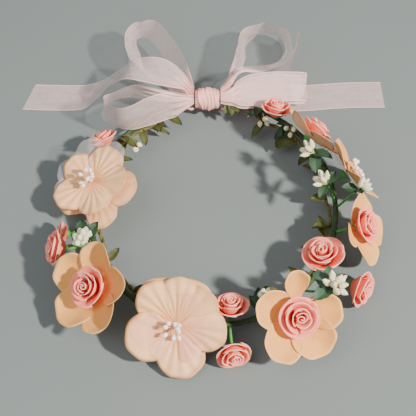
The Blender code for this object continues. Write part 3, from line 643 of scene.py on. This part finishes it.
# each spray rides on its own body and starts at that body's joint
usualSpray = dict(spread=46, buds=8, stalk=3.0, length=7.5, radius=1.6, mat="darkLeaf")
sprays = {
    "spray_back": dict(
        usualSpray, body="back_spray", angle=21.5, base=(-6.0, -12.0, 39.0), fan=(150, 32),
        leaves=((-60, 30, 12, 7), (-110, -10, 13, 6.5))),
    "spray_right_back": dict(
        usualSpray, body="right_back_spray", angle=0.0, base=(1.0, -8.0, 35.0), fan=(165, 45),
        leaves=((60, 10, 10, 5), (-120, 0, 10, 5))),
    "spray_right": dict(
        usualSpray, body="right_spray", angle=358.0, base=(-1.0, 12.5, 36.5), fan=(5, 55), spread=38,
        length=7.0, leaves=((-175, 25, 10, 6), (-78, 45, 8, 5))),
    "spray_right_front": dict(
        usualSpray, body="right_front_spray", angle=313.0, base=(2.0, 20.0, 39.0), fan=(30, 68), spread=62,
        stalk=3.2, length=8.0, radius=1.8, mat="greyLeaf",
        leaves=((190, 20, 12, 8), (-100, 5, 12, 8), (140, 15, 12, 7))),
    "spray_left": dict(
        usualSpray, body="left_spray", angle=205.0, base=(0.0, 7.5, 33.0), fan=(-20, 72), spread=70, buds=11,
        stalk=3.6, length=4.6, radius=2.0, leaves=((-100, 20, 12, 8), (-150, 25, 12, 7))),
}


def buildSprays():
    for name, spec in sprays.items():
        foot = sprayFeet[spec["body"]]
        base = hoopPlace(spec["angle"], *spec["base"])
        fan = hoopDirection(spec["angle"], *spec["fan"])
        axes = facingAxes(fan)
        rise = base - foot
        bend = fan * np.linalg.norm(rise) * 0.12
        path = smoothPath([foot, foot + rise * 0.4 - bend, foot + rise * 0.8 - bend, base], 6)
        patches = [tube(path, 0.8 * mm, 10)]
        for k in range(spec["buds"]):
            lean = math.radians(spec["spread"]) * math.sqrt((k + 0.6) / spec["buds"])
            way = place(fanned(lean, k * goldenTurn), 0.0, axes)
            grow = 1 + 0.12 * math.sin(k * 2.4)
            patches.append(budPatch(base - fan * 0.3 * mm, way, spec["stalk"], spec["length"] * grow,
                                    1.1 * spec["radius"], k, crust=0.16))
        for k, (turn, tilt, length, width) in enumerate(spec["leaves"]):
            way = hoopDirection(spec["angle"], turn, tilt)
            patches.append(leafPatch(base - fan * 1.2 * mm, way, 1.2 * length, 1.2 * width, 10 * k, k / 2))
        makePiece(name + "_buds", patches, ["stem", spec["mat"], "bud"], spec["body"], name)


# blossoms: at is (angle round the hoop, mm out, height), face is (turn, tilt), and a petal is
# (direction in the flower's plane, length, width), in degrees and mm
creamShape = dict(lift=0.19, cupped=-0.10, curl=-0.04, pleat=0.017, pleats=6.5, ruffle=0.014)
tanShape = dict(lift=0.20, cupped=0.30, curl=0.10, pleat=0.0, pleats=1.0, ruffle=0.035)
puffShape = dict(lift=0.34, cupped=-0.08, curl=-0.06, pleat=0.006, pleats=3.0, ruffle=0.03)
veilShape = dict(lift=0.26, cupped=0.0, curl=-0.02, pleat=0.008, pleats=4.0, ruffle=0.05)
underVeilShape = dict(lift=0.10, cupped=-0.04, curl=0.0, pleat=0.003, pleats=4.0, ruffle=0.004)
underShape = dict(lift=0.15, cupped=-0.10, curl=-0.05, pleat=0.006, pleats=6.5, ruffle=0.006)
blossoms = {
    "front_blossom": dict(
        at=(255.5, 6.5, 21.0), face=(9, 44), cloth="cream", shape=creamShape, sheer="overlay",
        petals=((129, 31, 28), (86, 31, 26), (48, 31, 26), (0, 31, 27), (-78, 31, 28), (-152, 31, 31)),
        back=((126, 31.5, 28), (64, 31, 30), (3, 30, 26), (-75, 32.5, 29), (-150, 32, 31)),
        organza=((-166, 25, 21), (64, 26, 13), (2, 24, 19), (-50, 23, 12), (-116, 21, 11))),
    "left_blossom": dict(
        at=(173.0, -2.0, 21.5), face=(28, 68), cloth="cream", shape=creamShape, sheer="white",
        under=dict(underShape, lift=0.06, cupped=-0.05),
        petals=((-161, 25, 24), (126, 26, 25), (52, 27, 26), (-10, 27, 25), (-86, 27, 26)),
        back=((46, 32, 27), (-7, 35, 22), (-84, 28, 26), (-164, 25, 23), (123, 27, 24)),
        organza=((165, 33, 23), (120, 31, 20), (-148, 29, 22), (-110, 27, 18), (20, 20, 16))),
    "left_front_blossom": dict(
        at=(223.0, 15.0, 24.0), face=(-8, 52), cloth="tan", shape=tanShape, rose=11.5,
        petals=((-164, 29, 25), (127, 28, 24), (51, 27, 23), (-87, 28, 27), (-12, 30, 26))),
    "right_front_blossom": dict(
        at=(301.0, 13.6, 23.5), face=(-17, 50), cloth="tan", shape=tanShape, rose=12.2,
        petals=((150, 27, 24), (81, 28, 15), (-2, 27, 22), (-66, 28, 26), (-134, 29, 25))),
    "right_blossom": dict(
        at=(345.5, 12.5, 24.0), face=(0, 36), cloth="tan", rose=10.8,
        shape=dict(tanShape, lift=0.18, cupped=0.14, curl=0.02),
        petals=((2, 24, 21), (66, 12, 10), (148, 22, 16), (-135, 26, 23), (-65, 25, 22))),
    "right_back_blossom": dict(
        at=(11.0, 9.0, 22.0), face=(10, 32), cloth="tan", shape=puffShape, sheer="white",
        petals=((0, 25, 22), (72, 25, 22), (144, 25, 22), (-144, 25, 21), (-72, 20, 18)),
        organza=((20, 17, 14), (-38, 24, 15), (-108, 22, 13))),
    "back_blossom": dict(
        at=(33.0, -3.0, 25.0), face=(10, 30), cloth="cream", shape=puffShape, rose=10.5,
        petals=((74, 24, 21), (146, 24, 22), (-142, 24, 21), (-70, 23, 20), (2, 24, 21))),
}
calyxHeight, touchGap, petalStep = 3.4 * mm, 0.3 * mm, 1.1 * mm
# a layer is (end of its piece's name, end of its node's name, thickness)
layers = dict(back=("_underPetals", "_back_petals", petalThickness),
              petals=("_cloth", "_petals", petalThickness), organza=("_veil", "_organza", 0.0))


def petalPatch(direction, length, width, spec, level, seed, tone):
    # a narrow claw that opens into a round blade, in the flower's own frame
    s, u = np.linspace(0, 1, 20)[:, None], np.linspace(-1, 1, 45)[None, :]
    phase, half = seed * 1.7, width / 2
    a = u * math.radians(124)
    edge = half * (1 + 0.016 * np.cos(15 * u + phase) * s ** 6)
    claw = 0.34 + 0.66 * s ** 0.9
    x = edge * np.sin(a) * s * claw
    y = (length - half + edge * np.cos(a)) * s
    t, w = np.clip(y / length, 0, 1), x / half
    z = spec["lift"] * t ** 1.5 + spec["cupped"] * w ** 2 * t + spec["curl"] * t ** 5
    z = z + spec["pleat"] * np.cos(spec["pleats"] * math.pi * u + phase) * s ** 1.3 * (1.15 - 0.6 * s ** 5)
    z = z + spec["ruffle"] * np.sin(4.2 * u + phase) * s ** 4
    flat = np.stack(np.broadcast_arrays(x, y, length * z), -1) * mm
    grid = flat + (wobble(flat, 0.5 * mm, 8 * mm, seed) - flat) * s[..., None]
    d = math.radians(direction)
    turned = np.stack([grid[..., 1] * math.cos(d) - grid[..., 0] * math.sin(d),
                       grid[..., 1] * math.sin(d) + grid[..., 0] * math.cos(d), grid[..., 2] + level], -1)
    return dict(grid=turned, tone=tone)


def rosePatches(radius, base, seed):
    # a rolled core inside three rings of foam petals that overlap like tiles and open outwards
    t, v = np.linspace(0, 1, 100)[None, :], np.linspace(0, 1, 10)[:, None]
    turn = t * 1.8 * 2 * math.pi + seed
    r = 0.05 + 0.24 * t + 0.05 * v ** 3 * t + 0.04 * t * np.sin(turn * 1.5 + seed)
    z = 0.45 + (0.65 - 0.05 * t) * v + 0.025 * np.sin(turn * 2.3)
    core = np.stack([r * np.cos(turn), 0.84 * r * np.sin(turn), z], -1) * radius + (0, 0, base)
    patches = [dict(grid=core)]
    # a ring is (petals, foot, rim, height, span in degrees), as shares of the radius
    rings = ((3, 0.20, 0.46, 1.10, 150), (3, 0.24, 0.72, 0.98, 138), (5, 0.28, 1.00, 0.74, 104))
    for ring, (count, foot, rim, tall, span) in enumerate(rings):
        for k in range(count):
            v, u = np.linspace(0, 1, 14)[:, None], np.linspace(-1, 1, 19)[None, :]
            grow = 1 + 0.05 * math.sin(k * 7 + ring * 3 + seed)
            middle = seed * 0.9 + ring * 0.62 + 2 * math.pi * (k + 0.14 * math.sin(k * 5 + seed)) / count
            a = middle + u * math.radians(span) / 2 * (0.75 + 0.25 * v)
            r = foot + (rim * grow - foot) * v ** 0.8 + 0.05 * v ** 8 + 0.05 * u * v - 0.07 * u ** 2 * v ** 2
            r = r + 0.02 * np.sin(3.5 * u + k + seed) * v ** 3
            z = 0.09 + (tall - 0.06) * v ** 1.05 * (1 - 0.20 * np.abs(u) ** 2.4 * v) - 0.04 * v ** 8
            grid = np.stack(np.broadcast_arrays(r * np.cos(a), r * np.sin(a), z), -1) * radius + (0, 0, base)
            patches.append(dict(grid=grid, tone=0.25 * ring))
    return patches


def stamenPatches(base, count=9):
    # pearl drops on bent threads, fanned low over the petals
    patches = [tube(np.array([[0, 0, base], [0, 0, base + 0.8 * mm], [0, 0, base + 1.4 * mm]]),
                    np.array([1.5, 1.3, 0.6]) * mm, 12, mat=1)]
    for k in range(count):
        lean = math.radians(24 + 46 * (k * 0.41 % 1))
        way = fanned(lean, k * goldenTurn + 0.5)
        reach = 4.4 * mm + 1.6 * mm * (k * 0.73 % 1)
        start = np.array([0, 0, base + 0.9 * mm])
        curve = bezier(start, start + np.array([0, 0, 2 * mm]), start + way * 3 * mm, start + way * reach, 8)
        patches.append(tube(curve, 0.17 * mm, 6, mat=1))
        drop = start + way * (reach - 0.4 * mm + np.linspace(0, 3.9 * mm, 12)[:, None])
        share = np.linspace(0.02, 0.985, 12)
        patches.append(tube(drop, 1.45 * mm * np.sin(math.pi * share ** 1.2) ** 0.75, 12, mat=0))
    return patches


def buildBlossom(name, spec, seed):
    angle, out, height = spec["at"]
    centre = hoopPlace(angle, 0, out, height)
    axes = facingAxes(hoopDirection(angle, *spec["face"]))
    z = axes[2]
    end = centre - z * calyxHeight
    behind = end - z * np.linalg.norm(end - hoopPoint(angle)) * 0.3
    foot = stemFoot(angle, behind)
    stem = bezier(foot, foot * 0.4 + behind * 0.6, behind, end, 14)
    cup = np.array([end + z * calyxHeight * s for s in (0.25, 0.5, 0.75, 1.0)])
    sizes = np.concatenate([np.full(13, 0.85), [1.1, 1.9, 2.9, 3.5, 3.8]]) * mm

    def ribbed(along, turn):
        return 1 + 0.06 * np.cos(5 * turn) * (along > 0.75)

    calyx = tube(np.vstack([stem, cup]), sizes, 14, ribbed)
    makePiece(name + "_stem", [calyx], ["stem"], "crown", name + "_calyx")

    def layer(kind, shape, level, finish, slot, step):
        petals = spec[kind]
        suffix, node, thickness = layers[kind]
        patches = [petalPatch(*petal, shape, level + step * mm * k, seed + 7 * len(suffix) + k, k * 0.61 % 1)
                   for k, petal in enumerate(petals)]
        patches = placeAll(patches, centre, axes)
        piece = makePiece(name + suffix, patches, [finish], "crown", name + node, thickness)

    cloth = spec["cloth"]
    level = touchGap
    if "back" in spec:
        layer("back", spec.get("under", underShape), level, cloth, cloth + "_petal", 0.12)
        level += petalStep + 0.9 * mm
    # white organza lies under the cloth petals, the tinted one over them
    veilBelow = spec.get("sheer") == "white"
    if veilBelow:
        layer("organza", underVeilShape, level, "white", "white_organza", 0.05)
        level += 1.4 * mm
    layer("petals", spec["shape"], level, cloth, cloth + "_petal", 0.2)
    level += petalStep + 0.5 * mm
    if "organza" in spec and not veilBelow:
        layer("organza", veilShape, level + 0.4 * mm, spec["sheer"], "white_organza", 0.08)
        level += petalStep
    if "rose" in spec:
        patches = placeAll(rosePatches(spec["rose"] * mm, level, seed), centre, axes)
        makePiece(name + "_foamRose", patches, ["foam", "foamRim"], "crown", name + "_rose",
                  foamThickness, 1)
    else:
        patches = placeAll(stamenPatches(level), centre, axes)
        makePiece(name + "_stamens", patches, ["pearl", "thread"], "crown", name + "_pearls")


# foam roses on their own stems
roses = {
    "rose_front_upper": dict(at=(278.0, -6.0, 24.5), face=(171, 68), radius=10.5),
    "rose_front_lower": dict(at=(277.0, 18.5, 11.5), face=(3, 12), radius=10.5),
    "rose_left_outer": dict(at=(199.5, 24.0, 18.5), face=(-10, 22), radius=11.0),
    "rose_left_upper": dict(at=(190.5, 19.0, 9.0), face=(-10, 12), radius=7.5),
    "rose_left_lower": dict(at=(207.5, 27.0, 7.0), face=(-5, 5), radius=6.0),
    "rose_upper_left": dict(at=(149.5, 6.5, 21.5), face=(-25, 48), radius=10.0),
    "rose_right_inner": dict(at=(328.5, -0.5, 25.0), face=(176, 78), radius=12.5),
    "rose_right_outer": dict(at=(327.0, 28.0, 12.4), face=(-2, 12), radius=11.5),
    "rose_back": dict(at=(56.0, -1.5, 25.0), face=(20, 70), radius=10.5),
}


def buildRose(name, spec, seed):
    angle, out, height = spec["at"]
    centre = hoopPlace(angle, 0, out, height)
    axes = facingAxes(hoopDirection(angle, *spec["face"]))
    base = centre - axes[2] * spec["radius"] * mm * 0.56
    neck = base - axes[2] * 1.2 * mm
    foot = stemFoot(angle, neck)
    cup = np.array([neck, base, base + axes[2] * 1.2 * mm])
    patches = [tube(np.linspace(foot, neck, 8), 0.85 * mm, 10, mat=2),
               tube(cup, np.array([0.9, 2.4, 3.4]) * mm, 12, mat=2)]
    patches += placeAll(rosePatches(spec["radius"] * mm, 0.0, seed), base, axes)
    makePiece(name + "_foam", patches, ["foam", "foamRim", "stem"], "crown", name,
              foamThickness, 1)


# bow: rows are the ribbon's middle and the way across it, in mm from the knot and the ground
ribbonWidth = 25.0 * mm
ground = 0.55
# runs beside the knot where its pinch holds the ribbon's turn and its folds, and the height under
# which ribbon lies on the ground
knotHold, calmRun, lyingBelow = 6 * mm, 11 * mm, 2.0 * mm
ribbons = {
    "ribbon_loop_left_lower": dict(held="gathered", rows=(
        (-9.4, -5.0, 20.5, 0, 0, 7), (-21.6, -12.6, 24, -4, 5, 16), (-29, -15.8, 26.6, -2, 8, 18.5),
        (-40.5, -22.0, 28, 1, 6, 22), (-51.4, -27.5, 28, 2, 2, 22.5), (-61, -27, 27.5, 3, -3, 22),
        (-70.5, -17, 26, 4, -8, 21), (-67, -7, 25.5, 4, -10, 20), (-55.3, -1.3, 25.5, 2, -8, 19.5),
        (-45.5, -1.3, 25.5, 1, -4.4, 19), (-32.9, -3.2, 24, 0.7, 0.3, 14),
        (-19.8, -3.2, 21.5, 0.3, 0.8, 9.5), (-9.4, -2.4, 20.5, 0, 0, 7))),
    "ribbon_loop_left_upper": dict(held="gathered", rows=(
        (-9.4, 5.4, 20, 0, 0.5, 7), (-13, 13, 21, 3, 1, 13), (-18.3, 25.2, 21.5, 6, -3, 19),
        (-27.4, 43.2, 21.5, 5.2, 0.3, 23), (-39.3, 61.4, 22, 3.3, -0.9, 22.5),
        (-50.6, 63, 22.5, -0.1, -8, 21.5), (-54.6, 52.1, 22, -8.4, -10, 20),
        (-53.1, 37.5, 21, -9, -7, 18.5), (-47.6, 25.5, 20, -8, -3, 15.5), (-30, 12, 20, -5, -2, 11.5),
        (-9.4, 2.8, 20, 0, 0.5, 7))),
    "ribbon_tail_left": dict(held="laid", rows=(
        (-9.4, 0.2, 20.5, 0, 0.5, 7), (-14, 1.2, 28.5, -0.5, 5, 6), (-20, 2.8, 34, -1, 15, 5),
        (-31, 5.2, 38.5, 2.7, 24, 0.5), (-43.5, 7.5, 39.5, 3.8, 24, -1), (-54.7, 10.5, 36, 3, 22, -4),
        (-65.3, 13, 25, 2.8, 20, -9), (-76, 15.8, 11, 0, 22.5, -8), (-88, 16.3, 2, 0, 24, -1),
        (-100, 16.2, ground, 3, 24.5, 0), (-115, 16.5, ground, 5.5, 24.3, 0),
        (-130.5, 17, ground, 6.7, 24, 0))),
    "ribbon_loop_right_upper": dict(held="gathered", rows=(
        (9.4, 5.4, 21, 0, -0.5, 7), (15.7, 11.5, 22, -3, -3.5, 8.5), (19, 24, 20.8, -4, -8, 12),
        (23.4, 41.2, 17, -5.7, -11.8, 18), (27.8, 58.8, 16, -6.8, -14, 19),
        (35.9, 68.8, 15.5, -3.3, -13.4, 21), (43.5, 72.5, 15.5, -0.6, -12.5, 21),
        (54.5, 66.2, 15.5, 0.4, -15, 20), (58.4, 55.1, 15.5, 1.5, -16.5, 18.5),
        (54.9, 40.7, 16.5, 1.2, -18, 17), (47.5, 31, 20, 0.8, -18.5, 16), (35.7, 22, 25, 0.2, -17, 12),
        (24, 13, 31.5, -0.3, -9, 7), (18, 7.6, 29.5, 0, -4, 7), (13.6, 4.6, 24.6, 0, -1, 7.3),
        (9.4, 2.8, 21, 0, -0.5, 7))),
    "ribbon_loop_right_flat": dict(held="folded", rows=(
        (9.4, -2.8, 22.5, 0, 7, 0.3), (14, -3.2, 23.2, 0, 9, 1), (18, -2.8, 23.6, 0, 12, 2),
        (24, -1.2, 23.4, 0, 20, 4), (35.7, 4.6, 22.2, 1.3, 24.5, 4.5), (52.6, 10.8, 18.5, 0.8, 24.6, 4.2),
        (68.4, 13.8, 15, 0, 24.6, 3.5), (70.6, 14.0, 13.4, 0, 24.6, 3.5),
        (68.4, 14.3, 11.8, 0, 24.6, 3.5), (52.6, 10.8, 15.6, 0.8, 24.6, 4.2),
        (35.7, 4.6, 19.4, 1.3, 24.5, 4.5), (24, -1.2, 20.7, 0, 20, 4), (18, -2.8, 20.8, 0, 12, 2),
        (14, -3.2, 20.4, 0, 9, 1), (9.4, -2.8, 19.6, 0, 7, 0.3))),
    "ribbon_tail_short": dict(held="hung", notch=6.0, rows=(
        (9.4, 4.4, 16.0, 0, 5, 0), (19, 9.6, 13.8, -1, 9, 0), (34, 16, 9.5, -2, 17, 0),
        (45, 22, 7.5, -1, 20, -2), (53, 31.5, 8.8, -1, 18, -5), (60, 41, 14, -0.5, 19, -14),
        (63.8, 48, 18, 0, 18.5, -16.5), (65.5, 53, 19.5, 1, 18, -17), (66, 59, 20, 1, 16, -15))),
    "ribbon_tail_right": dict(held="laid", rows=(
        (9.4, 4.4, 13.6, 0, 5, 0), (15, 7.5, 13.1, 0, 9, 0), (20, 11, 9.5, 0, 13, 0),
        (29, 15, 6, 0, 20, 0.5), (41, 14.8, 3.4, 0, 24.5, 0.5), (59.7, 14.5, 1.6, 1, 24.8, 0.3),
        (78, 16.5, ground, 1.7, 24.8, 0), (93, 18, ground, 1.6, 24.8, 0), (111, 19, ground, 0.5, 25, 0),
        (128, 19, ground, -0.9, 25, 0))),
}


def ribbonGrid(spec, phase):
    # where the ribbon is narrower than its cut width it is gathered into folds that keep its cloth
    samples = smoothPath(spec["rows"], 12)
    centres = samples[:, :3] * mm + knotCentre * (1, 1, 0)
    tangents = np.gradient(centres, axis=0)
    tangents /= np.linalg.norm(tangents, axis=1)[:, None]
    run = np.concatenate([[0], np.cumsum(np.linalg.norm(np.diff(centres, axis=0), axis=1))])
    u = np.linspace(-1, 1, 41)
    grid, gathers = [], []
    for k, (centre, tangent) in enumerate(zip(centres, tangents)):
        across = samples[k, 3:] * mm
        wide = min(np.linalg.norm(across), ribbonWidth)
        fromKnot = min(run[k], run[-1] - run[k])
        across = unit(across - tangent * (across @ tangent) * min(1.0, fromKnot / knotHold))
        spare = math.sqrt(max((0.78 * ribbonWidth) ** 2 - wide ** 2, 0))
        calm = min(1.0, 0.25 + fromKnot / calmRun)
        folds = np.sin(u * math.pi * 3.5 + phase + run[k] * 18) * calm * spare / 17
        ripple = 0.25 * mm * np.sin(run[k] * 160 + phase * 2 + 1.5 * u) * (wide / ribbonWidth) ** 2
        if centre[2] < lyingBelow:
            ripple = np.abs(ripple) * 0.4
        thick = unit(np.cross(tangent, across))
        row = centre + np.outer(u * wide / 2, across) + np.outer(folds + ripple, thick)
        if "notch" in spec:
            reach = spec["notch"] * mm * max(0.0, (k / (len(centres) - 1) - 0.8) / 0.2)
            row = row + np.outer((np.abs(u) - 0.5) * reach, tangent)
        grid.append(row)
        gathers.append([0.5 + 0.5 * min(1.0, max(0.0, 1.35 - 1.6 * wide / ribbonWidth))])
    return np.array(grid), np.array(gathers), run[-1]


def buildRibbons():
    for phase, (name, spec) in enumerate(ribbons.items()):
        grid, gathers, length = ribbonGrid(spec, phase)
        patch = dict(grid=grid, wide=ribbonWidth, tone=gathers)
        cloth = makePiece(name + "_cloth", [patch], ["ribbon"], "crown", name)


def buildKnot():
    # wound strands: slanted ridges that drift as they go round, pinched in at both ends
    half = np.array(knotHigh - knotLow) / 2
    along, turn = np.linspace(-1, 1, 60)[:, None], np.linspace(0, 2 * math.pi, 72, endpoint=False)[None, :]
    pinch = 0.80 + 0.20 * np.cos(along * math.pi / 2) ** 0.5
    drift = np.array([[noise.noise(Vector((a * 1.3, math.cos(b) * 0.8, math.sin(b) * 0.8))) for b in turn[0]]
                      for a in along[:, 0]])
    slant = along + 0.14 * np.sin(turn + 0.6) + 0.22 * drift
    ridges = 0.055 * np.sin(slant * 9.5) * (0.6 + 1.2 * drift) + 0.03 * np.sin(slant * 21 + 2 * np.sin(turn))
    ridges = ridges + 0.10 * drift + 0.04 * np.sin(2 * turn + along * 3)
    size = pinch * (0.92 + ridges)
    x = along * half[0] * 0.94 + 0.08 * half[0] * np.sin(turn + 1) * (1 - along ** 2)
    y, z = np.cos(turn) * half[1] * size, np.sin(turn) * half[2] * size
    knot = np.stack(np.broadcast_arrays(x, y, z), -1) + knotCentre
    first, last = (ring * 0.02 + ring.mean(1, keepdims=True) * 0.98 for ring in (knot[:1], knot[-1:]))
    patch = dict(grid=np.vstack([first, knot, last]), wrap=True)
    makePiece("knotWrap", [patch], ["gathered"], "crown", "ribbon_knot")


def buildTie():
    # the strand that runs behind the knot and through both eyelets
    half = np.array(knotHigh - knotLow) / 2
    eyeHeight = (hoopHeight / mm - hoopSpec["eyelet"])
    reach, end, behind = hoopSpec["eyeletReach"], half[0] / mm, half[1] / mm + 1.9
    side = ((end + 0.9, -3.4), (end + 2.8, -4.3), (reach + 0.1, -2.8), (reach + 0.4, 0.0), (reach, 3.6),
            (end + 2.4, behind - 1.7), (end - 3.0, behind))
    rows = [(-x, y, eyeHeight) for x, y in side] + [(x, y, eyeHeight) for x, y in reversed(side)]
    path = smoothPath(np.array(rows) * mm, 8) + knotCentre * (1, 1, 0)

    def folded(along, turn):
        return 1 + 0.12 * np.cos(5 * turn + along * 20)

    tie = tube(path, 0.95 * mm, 14, folded)
    makePiece("bowTie", [tie], ["gathered"], "crown", "ribbon_tie")


buildHoop()
buildVines()
buildSprigs()
buildSprays()
print("hoop, vines, sprigs and sprays built")
for number, (name, spec) in enumerate(blossoms.items()):
    buildBlossom(name, spec, number * 3 + 1)
for number, (name, spec) in enumerate(roses.items()):
    buildRose(name, spec, number * 2 + 1)
print("flowers built")
buildRibbons()
buildKnot()
buildTie()
print("bow built")


# floor, light and camera
keyTilt, keyTurn = math.radians(43.0), math.radians(-32.6)
stageSpec = dict(floor=6.0, floorColour=(0.155, 0.176, 0.169), world=(0.90, 0.95, 1.0), worldStrength=0.42)
lights = dict(
    keyLight=dict(toward=(math.cos(keyTilt) * math.cos(keyTurn), math.cos(keyTilt) * math.sin(keyTurn),
                          math.sin(keyTilt)), away=2.2, size=0.13, power=118, colour=(1.0, 0.96, 0.91)),
    fillLight=dict(toward=(-0.6, -0.4, 1.0), away=2.0, size=1.6, power=22, colour=(0.95, 0.98, 1.0)),
)
cameraSpec = dict(target=(0.0, -0.008, 0.022), tilt=54.0, away=0.620, lens=83.5, shift=(-0.01202, -0.0024))


def buildStage():
    bpy.ops.mesh.primitive_plane_add(size=stageSpec["floor"], location=(0, 0, 0))
    floor = bpy.context.object
    floor.name = "floor"
    colour = stageSpec["floorColour"]
    floor.data.materials.append(plainFinish("paleBoard", colour, tint(colour, 1.03), 6.0, 0.02 * mm, 0.8))
    for name, spec in lights.items():
        light = bpy.data.lights.new(name, "AREA")
        light.size = spec["size"]
        light.energy = spec["power"]
        light.color = spec["colour"]
        lamp = bpy.data.objects.new(name, light)
        lamp.location = Vector(spec["toward"]).normalized() * spec["away"]
        lamp.rotation_euler = (-Vector(lamp.location)).to_track_quat("-Z", "Y").to_euler()
        bpy.context.collection.objects.link(lamp)
    world = bpy.data.worlds.new("studio")
    world.use_nodes = True
    background = world.node_tree.nodes["Background"]
    background.inputs["Color"].default_value = (*stageSpec["world"], 1.0)
    background.inputs["Strength"].default_value = stageSpec["worldStrength"]
    bpy.context.scene.world = world


def buildCamera():
    camera = bpy.data.objects.new("camera", bpy.data.cameras.new("camera"))
    tilt = math.radians(cameraSpec["tilt"])
    back = Vector((0, -math.cos(tilt), math.sin(tilt)))
    camera.location = Vector(cameraSpec["target"]) + back * cameraSpec["away"]
    camera.rotation_euler = back.to_track_quat("Z", "Y").to_euler()
    camera.data.lens = cameraSpec["lens"]
    camera.data.sensor_width = 36.0
    camera.data.shift_x, camera.data.shift_y = cameraSpec["shift"]
    camera.data.clip_start = 0.01
    bpy.context.collection.objects.link(camera)
    bpy.context.scene.camera = camera


buildStage()
buildCamera()
print("stage built")
